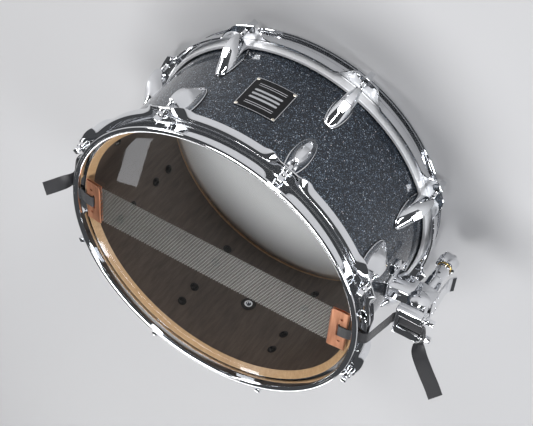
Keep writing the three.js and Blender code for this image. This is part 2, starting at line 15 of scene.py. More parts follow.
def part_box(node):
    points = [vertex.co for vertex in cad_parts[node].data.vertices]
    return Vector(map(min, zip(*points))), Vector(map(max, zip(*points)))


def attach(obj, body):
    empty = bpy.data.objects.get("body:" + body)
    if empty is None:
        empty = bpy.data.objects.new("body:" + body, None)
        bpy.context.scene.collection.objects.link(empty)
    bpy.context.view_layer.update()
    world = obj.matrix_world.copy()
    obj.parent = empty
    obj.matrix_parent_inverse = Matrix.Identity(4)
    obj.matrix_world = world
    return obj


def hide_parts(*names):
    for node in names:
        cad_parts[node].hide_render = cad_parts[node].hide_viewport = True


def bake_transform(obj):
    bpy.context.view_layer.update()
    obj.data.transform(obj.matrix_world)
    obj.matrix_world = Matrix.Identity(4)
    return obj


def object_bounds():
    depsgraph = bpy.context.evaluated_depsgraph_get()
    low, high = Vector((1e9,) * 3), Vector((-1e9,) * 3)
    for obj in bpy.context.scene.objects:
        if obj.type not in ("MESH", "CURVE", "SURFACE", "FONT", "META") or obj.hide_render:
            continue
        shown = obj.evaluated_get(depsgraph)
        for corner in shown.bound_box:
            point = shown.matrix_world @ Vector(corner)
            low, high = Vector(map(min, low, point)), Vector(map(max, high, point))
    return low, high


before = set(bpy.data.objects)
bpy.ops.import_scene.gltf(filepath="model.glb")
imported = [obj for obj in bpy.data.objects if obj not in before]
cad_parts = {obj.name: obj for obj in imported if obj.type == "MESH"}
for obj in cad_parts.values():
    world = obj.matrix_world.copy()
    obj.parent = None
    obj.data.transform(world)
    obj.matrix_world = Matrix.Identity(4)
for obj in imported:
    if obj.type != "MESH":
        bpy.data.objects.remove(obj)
CAD_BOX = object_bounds()
MM = 0.001
IDENTITY = Matrix.Identity(4)


# ---------------------------------------------------------------- sizes, in millimetres
def span(node):
    """Lowest and highest corner of a CAD node."""
    low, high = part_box(node)
    return low / MM, high / MM


SHELL_LOW, SHELL_HIGH = span("shell")
SHELL_R = SHELL_HIGH.x
MIDDLE = (SHELL_LOW.z + SHELL_HIGH.z) / 2
HALF = SHELL_HIGH.z - MIDDLE
RIM = span("snare_hoop")[1].z - MIDDLE  # the rim's height above the shell's middle
HOOP_RISE = 20.0  # from the plane of the hoop's ears out to its rim
EAR = RIM - HOOP_RISE
SNARE_FACE = span("snare_head_film")[1].z

SHELL_INNER = 169.3
EDGE_PEAK = 175.3  # radius of the bearing edge's peak
EDGE_SLOPE = 8.0
EDGE_ROUND = 3.0
WRAP = 0.6  # thickness of the wrap's sheet
STEEL = 2.3  # hoop sheet
HOOP_BORE = 178.8
LUG_COUNT = 8
LUG_FIRST = 22.5  # degrees from +X to the first lug
PITCH = 360 / LUG_COUNT
ROD_CIRCLE = 193.5
ROD_HOLE = 3.6


# ---------------------------------------------------------------- meshes
def shift(x, y, z):
    return Matrix.Translation((x, y, z))


def quarter(axis, turns=1):
    """A right angle about an axis."""
    return Matrix.Rotation(turns * math.pi / 2, 4, axis)


def curve_through(corners, closed=False, steps=6):
    """Points along corners of (x, y) or (x, y, reach). A corner with a reach is rounded over that length."""
    points = []
    last = len(corners) - 1
    for i, (x, y, *reach) in enumerate(corners):
        here = Vector((x, y))
        if not reach or (not closed and i in (0, last)):
            points.append(here)
            continue
        before = Vector(corners[i - 1][:2]) - here
        after = Vector(corners[(i + 1) % len(corners)][:2]) - here
        start = before.normalized() * min(reach[0], before.length * 0.499)
        end = after.normalized() * min(reach[0], after.length * 0.499)
        for k in range(steps + 1):
            t = k / steps
            points.append(here + start * (1 - t) ** 2 + end * t**2)
    return points


def closed_curve(corners, steps=6):
    return curve_through(corners, closed=True, steps=steps)


def sheet_outline(path, thick, edge=0.45):
    """The closed outline of a sheet whose middle follows path, with eased edges at both ends."""
    half = thick / 2
    ways = [(path[min(i + 1, len(path) - 1)] - path[max(i - 1, 0)]).normalized() for i in range(len(path))]
    sides = [Vector((-d.y, d.x)) for d in ways]
    ease = half * edge
    left = [p + n * half for p, n in zip(path, sides)]
    right = [p - n * half for p, n in zip(path, sides)]
    for rim in (left, right):
        rim[0] = rim[0] + ways[0] * ease
        rim[-1] = rim[-1] - ways[-1] * ease
    nose = [path[-1] + sides[-1] * (half - ease), path[-1] - sides[-1] * (half - ease)]
    tail = [path[0] - sides[0] * (half - ease), path[0] + sides[0] * (half - ease)]
    return left + nose + right[::-1] + tail


def new_piece(name, verts, faces, matrix=IDENTITY, sharp=32):
    """A mesh object from points in millimetres. Edges that turn by more than sharp degrees stay crisp."""
    mesh = bpy.data.meshes.new(name)
    mesh.from_pydata([(matrix @ Vector(v)) * MM for v in verts], [], faces)
    return tidy(add_object(name, mesh), sharp)


def add_object(name, data):
    obj = bpy.data.objects.new(name, data)
    bpy.context.scene.collection.objects.link(obj)
    return obj


@contextmanager
def editing(mesh):
    bm = bmesh.new()
    bm.from_mesh(mesh)
    yield bm
    bm.to_mesh(mesh)
    bm.free()


def tidy(obj, sharp=32):
    """Merges doubled points, turns faces outwards and sets smooth shading between crisp edges."""
    with editing(obj.data) as bm:
        bmesh.ops.remove_doubles(bm, verts=bm.verts, dist=2e-6)
        bmesh.ops.dissolve_degenerate(bm, edges=bm.edges, dist=1e-7)
        bmesh.ops.recalc_face_normals(bm, faces=bm.faces)
    obj.data.shade_smooth()
    obj.data.set_sharp_from_angle(angle=math.radians(sharp))
    return obj


def loft_faces(rows, sides, ring=False):
    """Faces over rows of points. ring joins the last row to the first, in place of two end caps."""
    faces = []
    for r in range(rows if ring else rows - 1):
        here, there = r * sides, (r + 1) % rows * sides
        for i in range(sides):
            j = (i + 1) % sides
            faces.append((here + i, here + j, there + j, there + i))
    if not ring:
        faces.append(tuple(range(sides))[::-1])
        faces.append(tuple((rows - 1) * sides + i for i in range(sides)))
    return faces


def loft(name, rows, ring=False, matrix=IDENTITY, sharp=32):
    verts = [p for row in rows for p in row]
    return new_piece(name, verts, loft_faces(len(rows), len(rows[0]), ring), matrix, sharp)


def turned(name, profile, steps=96, matrix=IDENTITY, sharp=32):
    """A closed outline of (radius, height) turned about Z."""
    rows = [[(r * math.cos(a), r * math.sin(a), h) for r, h in profile] for a in turns_of(steps)]
    return loft(name, rows, ring=True, matrix=matrix, sharp=sharp)


PLANES = {
    "XY": IDENTITY,
    "XZ": Matrix(((1, 0, 0, 0), (0, 0, 1, 0), (0, 1, 0, 0), (0, 0, 0, 1))),
    "YZ": Matrix(((0, 0, 1, 0), (1, 0, 0, 0), (0, 1, 0, 0), (0, 0, 0, 1))),
}


def slab(name, outline, low, high, plane="XY", matrix=IDENTITY, bevel=0.0, sharp=32):
    """An outline given thickness from low to high across its plane, with bevelled edges."""
    rows = [[(p[0], p[1], level) for p in outline] for level in (low, high)]
    return eased(loft(name, rows, matrix=matrix @ PLANES[plane], sharp=sharp), bevel, sharp)


def rectangle(x0, x1, y0, y1, reach=0.0):
    corners = [(x0, y0), (x1, y0), (x1, y1), (x0, y1)]
    return closed_curve([(*c, reach) for c in corners]) if reach else corners


def block(name, x, y, z, matrix=IDENTITY, bevel=0.6):
    """A box from the (low, high) of each axis, with bevelled edges."""
    return slab(name, rectangle(*x, *y), *z, matrix=matrix, bevel=bevel)


def rod(name, radius, start, end, matrix=IDENTITY, steps=32, bevel=0.0):
    """A round bar from start to end, two points in millimetres."""
    start, end = Vector(start), Vector(end)
    turn = (end - start).to_track_quat("Z", "Y").to_matrix().to_4x4()
    place = matrix @ Matrix.Translation(start) @ turn
    circle = [(radius * math.cos(a), radius * math.sin(a)) for a in turns_of(steps)]
    return slab(name, circle, 0, (end - start).length, matrix=place, bevel=bevel)


def turns_of(steps):
    return [2 * math.pi * k / steps for k in range(steps)]


def eased(obj, bevel, sharp=32):
    """Rounds every crisp edge by bevel millimetres."""
    if bevel <= 0:
        return obj
    limit = math.radians(sharp)
    style = dict(segments=2, profile=0.5, affect="EDGES", clamp_overlap=True)
    with editing(obj.data) as bm:
        crisp = [e for e in bm.edges if len(e.link_faces) == 2 and e.calc_face_angle(0) > limit]
        bmesh.ops.bevel(bm, geom=crisp, offset=bevel * MM, **style)
    return tidy(obj, sharp)


def bent_slab(name, outline, low, high, matrix, bevel=0.5, step=3.0, cuts=11):
    """A drawing of (across, height) bent round the shell at +X, from radius low to high."""
    obj = slab(name, outline, low, high)
    move = scaled_to_metres(matrix)
    with editing(obj.data) as bm:
        for k in range(-cuts, cuts + 1):
            geometry = bm.verts[:] + bm.edges[:] + bm.faces[:]
            bmesh.ops.bisect_plane(bm, geom=geometry, plane_co=(k * step * MM, 0, 0), plane_no=(1, 0, 0))
        for v in bm.verts:
            angle = v.co.x / (SHELL_R * MM)
            v.co = move @ Vector((v.co.z * math.cos(angle), v.co.z * math.sin(angle), v.co.y))
    return eased(tidy(obj), bevel)


def scaled_to_metres(matrix):
    move = matrix.copy()
    move.translation = matrix.translation * MM
    return move


def baked(obj):
    """Applies the object's modifiers."""
    graph = bpy.context.evaluated_depsgraph_get()
    mesh = bpy.data.meshes.new_from_object(obj.evaluated_get(graph))
    obj.modifiers.clear()
    obj.data = mesh
    return obj


def combine(obj, tools, operation="UNION", sharp=32):
    """Joins the tools to obj, or cuts them from it, and removes them."""
    for tool in tools:
        step = obj.modifiers.new("combine", "BOOLEAN")
        step.operation = operation
        step.solver = "EXACT"
        step.object = tool
        baked(obj)
        bpy.data.objects.remove(tool)
    return tidy(obj, sharp)


def cut(obj, tools, sharp=32):
    return combine(obj, tools, "DIFFERENCE", sharp)


def several(name, pieces):
    """One object that holds separate solids."""
    verts, faces = [], []
    for piece in pieces:
        start = len(verts)
        verts += [v.co / MM for v in piece.data.vertices]
        faces += [tuple(start + i for i in f.vertices) for f in piece.data.polygons]
        bpy.data.objects.remove(piece)
    return new_piece(name, verts, faces)


def copy_of(obj, name, matrix):
    """The same mesh again, moved by matrix (in millimetres)."""
    mesh = obj.data.copy()
    mesh.transform(scaled_to_metres(matrix))
    return add_object(name, mesh)


def put(obj, material, body="drum", replaces=()):
    """Gives a piece its material, the body that it rides on and the CAD nodes that it stands for."""
    obj.data.materials.clear()
    obj.data.materials.append(material)
    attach(obj, body)
    if replaces:
        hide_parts(*replaces)
    return obj


# ---------------------------------------------------------------- materials
class Look:
    """A node material under construction: one Principled shader and the nodes that feed it."""

    def __init__(self, name, **sockets):
        self.material = bpy.data.materials.new(name)
        self.material.use_nodes = True
        self.tree = self.material.node_tree
        self.shader = self.tree.nodes["Principled BSDF"]
        self.output = self.tree.nodes["Material Output"]
        self.set(**sockets)

    def set(self, **sockets):
        for key, value in sockets.items():
            socket = self.shader.inputs[key.replace("_", " ").title().replace("Ior", "IOR")]
            socket.default_value = (*value, 1) if isinstance(value, tuple) and len(value) == 3 else value

    def node(self, kind, **values):
        """A node. Each value goes to its property of that name, or else to its input."""
        made = self.tree.nodes.new("ShaderNode" + kind)
        for key, value in values.items():
            if hasattr(made, key):
                setattr(made, key, value)
            else:
                self.join(value, made.inputs[key])
        return made

    def join(self, value, socket):
        """Links an output to a socket, or sets a plain value on it."""
        if isinstance(value, bpy.types.NodeSocket):
            self.tree.links.new(value, socket)
        else:
            socket.default_value = value

    def feed(self, name, socket):
        self.tree.links.new(socket, self.shader.inputs[name])

    def place(self):
        return self.node("TexCoord").outputs["Object"]

    def math(self, operation, a, b=0.0, clamp=False):
        made = self.node("Math", operation=operation, use_clamp=clamp)
        self.join(a, made.inputs[0])
        self.join(b, made.inputs[1])
        return made.outputs[0]

    def times(self, a, b):
        return self.math("MULTIPLY", a, b)

    def noise(self, scale, detail=3.0, roughness=0.55, vector=None, stretch=None):
        vector = vector or self.place()
        if stretch:
            vector = self.node("Mapping", Vector=vector, Scale=stretch).outputs[0]
        made = self.node("TexNoise", Vector=vector, Scale=scale, Detail=detail, Roughness=roughness)
        return made.outputs["Fac"]

    def ramp(self, factor, *stops):
        """A colour ramp of (position, colour) stops."""
        made = self.node("ValToRGB", Fac=factor)
        elements = made.color_ramp.elements
        while len(elements) < len(stops):
            elements.new(0.5)
        for element, (position, colour) in zip(elements, stops):
            element.position = position
            element.color = (*colour, 1) if isinstance(colour, tuple) else (colour, colour, colour, 1)
        return made.outputs["Color"]

    def mix(self, factor, first, second):
        """One colour over another: factor 0 gives the first, and 1 the second."""
        made = self.node("Mix", data_type="RGBA", Factor=factor)
        self.join(first, made.inputs[6])
        self.join(second, made.inputs[7])
        return made.outputs[2]

    def vector(self, operation, a, b=None, **values):
        made = self.node("VectorMath", operation=operation, **values)
        self.join(a, made.inputs[0])
        if b:
            self.join(b, made.inputs[1])
        return made.outputs[0]

    def bump(self, height, strength, distance):
        made = self.node("Bump", Height=height, Strength=strength, Distance=distance)
        self.feed("Normal", made.outputs["Normal"])

    def polar(self):
        """(radius in metres, angle in turns, height in metres) about the drum's axis."""
        x, y, z = self.node("SeparateXYZ", Vector=self.place()).outputs
        radius = self.math("SQRT", self.math("ADD", self.times(x, x), self.times(y, y)))
        turn = self.math("DIVIDE", self.math("ARCTAN2", y, x), 2 * math.pi)
        return radius, turn, z


def chrome_look():
    look = Look("chrome", base_color=(0.80, 0.81, 0.83), metallic=1.0)
    smear = look.noise(38, 4)
    look.feed("Roughness", look.ramp(smear, (0.3, 0.035), (0.75, 0.085)))
    look.bump(look.noise(420, 2), 0.05, 0.00004)
    return look.material


def wrap_look():
    """Glossy dark blue sheet with silver flakes at two sizes, each flake leaning its own way."""
    coat = dict(coat_weight=1.0, coat_roughness=0.025, coat_ior=1.33)
    look = Look("sparkle_wrap", roughness=0.36, specular_ior_level=0.3, **coat)
    place = look.place()
    fine = look.node("TexVoronoi", Vector=place, Scale=1350.0)
    bold = look.node("TexVoronoi", Vector=place, Scale=620.0)
    fine_pick = look.node("SeparateColor", Color=fine.outputs["Color"]).outputs
    bold_pick = look.node("SeparateColor", Color=bold.outputs["Color"]).outputs
    many = look.math("GREATER_THAN", fine_pick[0], 0.66)
    small = look.math("LESS_THAN", bold.outputs["Distance"], 0.36)
    few = look.times(look.math("GREATER_THAN", bold_pick[0], 0.93), small)
    cloud = look.noise(16, 3)
    ground = look.ramp(cloud, (0.25, (0.0028, 0.0042, 0.0075)), (0.8, (0.0055, 0.0078, 0.013)))
    dust = ((0.0, (0.012, 0.02, 0.034)), (0.6, (0.05, 0.072, 0.105)), (1.0, (0.30, 0.37, 0.45)))
    silver = ((0.0, (0.35, 0.45, 0.6)), (0.7, (0.7, 0.78, 0.85)), (1.0, (0.9, 0.82, 0.85)))
    dusted = look.mix(many, ground, look.ramp(fine_pick[1], *dust))
    look.feed("Base Color", look.mix(few, dusted, look.ramp(bold_pick[1], *silver)))
    flake = look.math("MAXIMUM", many, few)
    look.feed("Metallic", look.times(flake, 0.85))
    lean = look.vector("SUBTRACT", fine.outputs["Color"], (0.5, 0.5, 0.5))
    normal = look.node("NewGeometry").outputs["Normal"]
    leaning = look.vector("ADD", normal, look.vector("SCALE", lean, Scale=0.55))
    look.feed("Normal", look.vector("NORMALIZE", leaning))
    return look.material


def maple_look():
    """Plied maple: veneer grain inside, painted dark there as painted shade within the shell, and thin glue
    lines where the bearing edge cuts across the plies.
    """
    look = Look("maple_plies", roughness=0.42, coat_weight=0.25, coat_roughness=0.25)
    radius, turn, height = look.polar()
    arc = look.times(turn, 62.0)
    along = look.times(height, 9.0)
    depth = look.times(radius, 60.0)
    place = look.node("CombineXYZ", X=arc, Y=along, Z=depth).outputs[0]
    grain = look.noise(4.0, 6, 0.62, place)
    figure = look.noise(1.1, 3, 0.5, place)
    # Painted shade: the inside face's maple is darkened to stand for the shade within the shell.
    inside_painted_shade = ((0.25, (0.070, 0.048, 0.036)), (0.5, (0.105, 0.074, 0.055)), (0.8, (0.15, 0.11, 0.082)))
    bare = ((0.2, (0.52, 0.31, 0.145)), (0.55, (0.66, 0.42, 0.22)), (0.85, (0.76, 0.52, 0.30)))
    glue = (0.25, 0.12, 0.05, 1)
    ply = (SHELL_R - SHELL_INNER) / 8
    count = look.math("DIVIDE", look.math("SUBTRACT", radius, SHELL_INNER * MM), ply * MM)
    line = look.math("LESS_THAN", look.math("FRACT", count), 0.16)
    # Mask of the inside face, which takes the painted shade.
    inside = look.math("LESS_THAN", radius, (SHELL_INNER + 0.15) * MM)
    edge = look.mix(look.times(line, 0.55), look.ramp(grain, *bare), glue)
    look.feed("Base Color", look.mix(inside, edge, look.ramp(grain, *inside_painted_shade)))
    look.feed("Roughness", look.ramp(figure, (0.3, 0.36), (0.7, 0.52)))
    look.bump(grain, 0.12, 0.0002)
    return look.material


def clear_film_look():
    """Clear glossy film: what it doesn't mirror, it lets through, with a trace of haze."""
    look = Look("clear_film", base_color=(0.55, 0.57, 0.60), roughness=0.04, metallic=1.0)
    haze = look.noise(9, 4)
    look.feed("Roughness", look.ramp(haze, (0.3, 0.008), (0.8, 0.03)))
    gloss = look.node("Fresnel", IOR=1.5).outputs[0]
    front = look.math("SUBTRACT", 1.0, look.node("NewGeometry").outputs["Backfacing"])
    share = look.math("MULTIPLY", look.times(gloss, front), 1.3, clamp=True)
    clear = look.node("BsdfTransparent", Color=(0.95, 0.955, 0.96, 1))
    mixed = look.node("MixShader", Fac=share)
    links = look.tree.links
    links.new(clear.outputs[0], mixed.inputs[1])
    links.new(look.shader.outputs[0], mixed.inputs[2])
    links.new(mixed.outputs[0], look.output.inputs["Surface"])
    return look.material


def coated_film_look():
    look = Look("coated_film", roughness=0.55)
    cloud = look.noise(7, 4)
    look.feed("Base Color", look.ramp(cloud, (0.25, (0.66, 0.665, 0.66)), (0.8, (0.76, 0.76, 0.75))))
    look.bump(look.noise(2400, 3), 0.35, 0.00006)
    return look.material


def brushed_look(name, dark, light, rough, scale=300.0, stretch=(1, 1, 1), metallic=1.0):
    """Metal with fine lines that run across the stretched direction."""
    look = Look(name, metallic=metallic)
    lines = look.noise(scale, 4, 0.6, stretch=stretch)
    cloud = look.noise(24, 3)
    mix = look.math("ADD", look.times(lines, 0.6), look.times(cloud, 0.4))
    look.feed("Base Color", look.ramp(mix, (0.3, dark), (0.7, light)))
    look.feed("Roughness", look.ramp(lines, (0.2, rough[0]), (0.8, rough[1])))
    look.bump(lines, 0.15, 0.00008)
    return look.material


def strap_look():
    """Woven satin ribbon: ribs across its width over fine lengthwise threads, on a UV map in millimetres. Its
    colour is painted darker in the weave's troughs, as painted shade, over a random tone.
    """
    look = Look("strap_ribbon", roughness=0.5, sheen_weight=0.25, sheen_roughness=0.4)
    u, v, _ = look.node("SeparateXYZ", Vector=look.node("UVMap", uv_map="ribbon").outputs[0]).outputs
    ribs = look.math("SINE", look.times(v, 2 * math.pi / 0.42))
    threads = look.math("SINE", look.times(u, 2 * math.pi / 0.30))
    weave = look.math("ADD", look.times(ribs, 0.35), look.times(threads, 0.15))
    fade = look.noise(60, 3)
    height = look.math("ADD", weave, 0.5)
    # Base colour: painted shade of the weave, darker in its troughs and lighter on its ribs, mixed with a
    # random tone.
    weave_painted_shade_and_tone = look.math("ADD", look.times(height, 0.5), look.times(fade, 0.5))
    look.feed("Base Color", look.ramp(weave_painted_shade_and_tone, (0.2, (0.006, 0.006, 0.0075)), (0.8, (0.021, 0.021, 0.025))))
    look.feed("Roughness", look.ramp(fade, (0.3, 0.38), (0.7, 0.55)))
    look.bump(height, 0.5, 0.0001)
    return look.material


def dull_look(name, scale, dark, light, bump, **sockets):
    """A matt black with a fine grain: dark and light are its two colours."""
    look = Look(name, **sockets)
    grain = look.noise(scale, 3)
    look.feed("Base Color", look.ramp(grain, (0.3, dark), (0.7, light)))
    look.bump(grain, *bump)
    return look.material


CHROME = chrome_look()
WRAP_SHEET = wrap_look()
MAPLE = maple_look()
CLEAR = clear_film_look()
COATED = coated_film_look()
SATIN = ((0.74, 0.75, 0.77), (0.88, 0.88, 0.89), (0.30, 0.46))
ALUMINIUM = brushed_look("flesh_hoop_satin", *SATIN, 90, (1, 1, 30), 0.3)
WIRE = brushed_look("snare_wire", (0.30, 0.30, 0.288), (0.45, 0.45, 0.43), (0.26, 0.40), 500)
COPPER_TONES = ((0.66, 0.27, 0.15), (0.86, 0.44, 0.27), (0.26, 0.44))
COPPER = brushed_look("copper_plate", *COPPER_TONES, 420, (1, 0.06, 1))
BRASS = brushed_look("brass_collar", (0.60, 0.42, 0.16), (0.78, 0.58, 0.26), (0.18, 0.3), 300)
SILVER_TONES = ((0.52, 0.53, 0.55), (0.72, 0.73, 0.75), (0.18, 0.32))
SILVER = brushed_look("badge_silver", *SILVER_TONES, 500, (0.1, 1, 1))
NICKEL = brushed_look("badge_rivet", (0.66, 0.61, 0.52), (0.84, 0.80, 0.71), (0.2, 0.34), 500)
ZINC = brushed_look("zinc_screw", (0.36, 0.35, 0.33), (0.52, 0.51, 0.48), (0.28, 0.42), 400)
# Painted shade: a darkened copy of the zinc for the screws and washer inside the shell, standing for the
# shade there.
PAINTED_SHADE_ZINC_TONES = ((0.030, 0.028, 0.026), (0.075, 0.070, 0.066), (0.30, 0.45))
ZINC_IN_PAINTED_SHADE = brushed_look("inside_zinc_painted_shade", *PAINTED_SHADE_ZINC_TONES, 400)
RIBBON = strap_look()
RUBBER_TONES = ((0.010, 0.010, 0.011), (0.024, 0.024, 0.026))
RUBBER = dull_look("gasket_rubber", 900, *RUBBER_TONES, (0.3, 0.00008), roughness=0.6)
ENAMEL = ((0.004, 0.004, 0.005), (0.008, 0.008, 0.009))
ENAMEL_GLOSS = dict(roughness=0.35, specular_ior_level=0.25)
BADGE_BLACK = dull_look("badge_enamel", 700, *ENAMEL, (0.08, 0.00005), **ENAMEL_GLOSS)


def chromed(obj, body="drum", replaces=()):
    return put(obj, CHROME, body, replaces)


# ---------------------------------------------------------------- places
def end_matrix(side):
    """From a drawing with the shell's middle at height 0 and the playing face up, to that end of the drum."""
    up = shift(0, 0, MIDDLE)
    return up @ Matrix.Rotation(math.pi, 4, "X") if side == "batter" else up


def around(degrees):
    return Matrix.Rotation(math.radians(degrees), 4, "Z")


LUG_ANGLES = [LUG_FIRST + PITCH * k for k in range(LUG_COUNT)]
STRAINER = around(180)  # its pieces are drawn with their radius along +X


# ---------------------------------------------------------------- shell, vent, badge
def make_shell():
    low, high = SHELL_LOW.z, SHELL_HIGH.z
    seam = SHELL_R - WRAP
    outline = closed_curve(
        [
            (seam, low + EDGE_ROUND + 0.5), (seam, high - EDGE_ROUND - 0.5),
            (SHELL_R - 0.05, high - EDGE_ROUND - 0.2, 0.3), (SHELL_R - 0.35, high - 1.0, 1.2),
            (EDGE_PEAK, high, 0.9), (SHELL_INNER, high - EDGE_SLOPE, 1.0),
            (SHELL_INNER, low + EDGE_SLOPE, 1.0), (EDGE_PEAK, low, 0.9), (SHELL_R - 0.35, low + 1.0, 1.2),
            (SHELL_R - 0.05, low + EDGE_ROUND + 0.2, 0.3),
        ]
    )
    plies = turned("shell_plies", outline, 180)
    sheet = turned("shell_wrap", rectangle(seam + 0.02, SHELL_R, low + EDGE_ROUND, high - EDGE_ROUND), 180)
    vent = [rod("vent_cutter", 5.6, (0, 160, MIDDLE), (0, 185, MIDDLE)) for _ in range(2)]
    put(cut(plies, vent[:1]), MAPLE, replaces=["shell"])
    put(cut(sheet, vent[1:]), WRAP_SHEET)


def make_vent():
    """A pressed grommet through the shell, with a rolled outer flange and a locking washer inside."""
    bore, barrel, flange = 3.4, 5.2, 8.5
    face = SHELL_R + 0.1
    barrel_end = SHELL_INNER - 1.2
    sleeve = [(bore, barrel_end, 0.4), (barrel, barrel_end, 0.3), (barrel, face), (flange, face, 0.3)]
    crown = [(flange - 0.4, face + 1.5, 0.7), (bore + 0.6, face + 1.6, 0.8), (bore, face + 0.4, 0.6)]
    outline = closed_curve(sleeve + crown)
    turn = shift(0, 0, MIDDLE) @ quarter("X", -1)
    chromed(turned("vent_grommet_pressed", outline, 48, turn), replaces=["vent_grommet"])
    washer = [(barrel + 0.1, 0), (9.5, 0), (9.5, -0.5), (9, -0.9), (barrel + 0.1, -0.9)]
    inner = turn @ shift(0, 0, SHELL_INNER - 0.35)
    # The washer's dark zinc is painted shade for the inside of the shell.
    put(turned("vent_washer", washer, 48, inner), ZINC_IN_PAINTED_SHADE)


BADGE_LOW, BADGE_HIGH = span("badge")
BADGE_HALF = (BADGE_HIGH.z - BADGE_LOW.z) / 2
BADGE_CENTRE = shift(0, 0, MIDDLE) @ around(-90)


def on_badge(name, outline, low, high, bevel=0.0):
    return bent_slab(name, outline, low, high, BADGE_CENTRE, bevel, step=2.0, cuts=14)


def make_badge():
    """A black plate with a bright rim, four rivets and a plain pattern of bars."""
    face = SHELL_R + 0.1
    half = BADGE_HALF
    plate = on_badge("badge_plate", rectangle(-half, half, -half, half, 1.2), face, face + 0.9, 0.15)
    put(plate, BADGE_BLACK, replaces=["badge"])
    outer = half - 0.3
    inner = outer - 0.75
    rims = [(-outer, outer, inner, outer), (-outer, outer, -outer, -inner)]
    rims += [(-outer, -inner, -inner, inner), (inner, outer, -inner, inner)]
    for k, sides in enumerate(rims):
        put(on_badge(f"badge_rim_{k + 1}", rectangle(*sides), face + 0.7, face + 1.08), SILVER)
    bars = [(-16.5, 0.45), (-13.6, 0.45), (-6.2, 1.5), (0, 1.5), (6.2, 1.5), (13.6, 0.45), (16.5, 0.45)]
    for k, (y, thick) in enumerate(bars):
        outline = rectangle(-17, 17, y - thick, y + thick, 1.2 * thick)
        put(on_badge(f"badge_bar_{k + 1}", outline, face + 0.7, face + 1.1), SILVER)
    corner = half - 2.6
    head = [(0, -0.4), (1.9, -0.4), (1.9, 0.2), (1.6, 0.6), (0.8, 0.95), (0, 1.05)]
    for k, (x, y) in enumerate(rectangle(-corner, corner, -corner, corner)):
        turn = (
            shift(0, 0, MIDDLE + y)
            @ around(math.degrees(x / SHELL_R))
            @ shift(0, -(face + 0.9), 0)
            @ quarter("X")
        )
        put(turned(f"badge_rivet_{k + 1}", head, 24, turn), NICKEL)


# ---------------------------------------------------------------- heads
FLESH_HOOP_HEIGHT = 12.2


def make_films():
    """Each film lies flat, turns down over the bearing edge's peak and runs into its metal hoop."""
    lift = thick = 0.28
    level = HALF + lift + thick / 2
    path = curve_through(
        [
            (0.0, level), (60.0, level), (120.0, level), (160.0, level), (EDGE_PEAK + 0.9, level, 2.4),
            (177.35, EAR + 6.5, 1.5), (177.95, EAR - 0.9),
        ]
    )
    up = [p + Vector((0, thick / 2)) for p in path]
    down = [p - Vector((0, thick / 2)) for p in path]
    outline = [*down, *up[::-1]]
    for k, p in enumerate(path):
        if p.x > EDGE_PEAK - 1:
            way = (path[min(k + 1, len(path) - 1)] - path[k - 1]).normalized()
            side = Vector((-way.y, way.x)) * thick / 2
            outline[k] = p - side
            outline[-1 - k] = p + side
    for side, look, slot in (("batter", COATED, "coated_film"), ("snare", CLEAR, "clear_film")):
        film = turned(f"{side}_head_sheet", outline, 180, end_matrix(side))
        put(film, look, replaces=[f"{side}_head_film"])


def make_flesh_hoops():
    """Each film's metal hoop, with a small groove near its top."""
    top = EAR - STEEL / 2 - 0.2
    foot = top - FLESH_HOOP_HEIGHT
    inner, outer, groove = 178.3, 182.3, 181.8
    ring = closed_curve(
        [
            (inner, foot, 0.6), (outer, foot, 1.0), (outer, top - 2.9, 0.4), (groove, top - 2.4, 0.4),
            (groove, top - 1.2, 0.3), (outer, top - 0.8, 0.3), (outer, top, 0.5), (inner, top, 0.6),
        ],
        steps=4,
    )
    for side in ("batter", "snare"):
        flesh = turned(f"{side}_flesh_ring", ring, 144, end_matrix(side))
        put(flesh, ALUMINIUM, replaces=[f"{side}_flesh_hoop"])


# ---------------------------------------------------------------- hoops
LEDGE = 10.6  # from the hoop's bore out to where its skirt turns down
SKIRT = 10.5
RIM_REACH = 7.0
RIM_LIP = 3.8
FOLD_FLAT = 3.0  # degrees each side of a rod where the skirt lies flat as an ear
FOLD_END = 10.5  # degrees each side of a rod where the skirt stands upright again
HOOP_STEPS = 432
GATE_SILL = EAR + 6.3
GATE_RISE = 7.2
GATE_HALF = 31.0


def smooth(t):
    t = min(max(t, 0.0), 1.0)
    return t * t * (3 - 2 * t)


def hoop_section(offset):
    """The hoop's outline (radius, height) at an angle from its nearest rod."""
    fold = smooth((FOLD_END - abs(offset)) / (FOLD_END - FOLD_FLAT)) * math.pi / 2
    half = STEEL / 2
    wall = HOOP_BORE + half
    lip = HOOP_BORE + RIM_REACH - half
    hinge = HOOP_BORE + LEDGE
    tip = (hinge + math.sin(fold) * SKIRT, EAR - math.cos(fold) * SKIRT)
    corners = [
        (lip, RIM - RIM_LIP), (lip, RIM - half, 2.7), (wall, RIM - half, 3.0), (wall, EAR, 3.0),
        (hinge, EAR, 3.0), tip,
    ]
    return sheet_outline(curve_through(corners), STEEL)


def make_hoop(side):
    rows = []
    for k in range(HOOP_STEPS):
        degrees = 360 * k / HOOP_STEPS
        offset = (degrees - LUG_FIRST + PITCH / 2) % PITCH - PITCH / 2
        a = math.radians(degrees)
        rows.append([(p.x * math.cos(a), p.x * math.sin(a), p.y) for p in hoop_section(offset)])
    hoop = loft(f"{side}_hoop_flanged", rows, ring=True, sharp=40)
    holes = [
        rod("hole", ROD_HOLE, (ROD_CIRCLE, 0, EAR - 5), (ROD_CIRCLE, 0, EAR + 5), around(angle))
        for angle in LUG_ANGLES
    ]
    if side == "snare":
        for k, turn in enumerate((0, 180)):
            lip = gate_lip(end_matrix(side) @ around(turn))
            lip.name = f"snare_hoop_lip_{k + 1}"
            chromed(lip)
            gate = rectangle(-GATE_HALF, GATE_HALF, GATE_SILL, GATE_SILL + GATE_RISE, 2.6)
            cut(hoop, [slab("gate", gate, 176, 184, plane="YZ", matrix=around(turn))])
    cut(hoop, [several("holes", holes)], sharp=40)
    hoop.data.transform(scaled_to_metres(end_matrix(side)))
    chromed(tidy(hoop, 40), replaces=[f"{side}_hoop"])


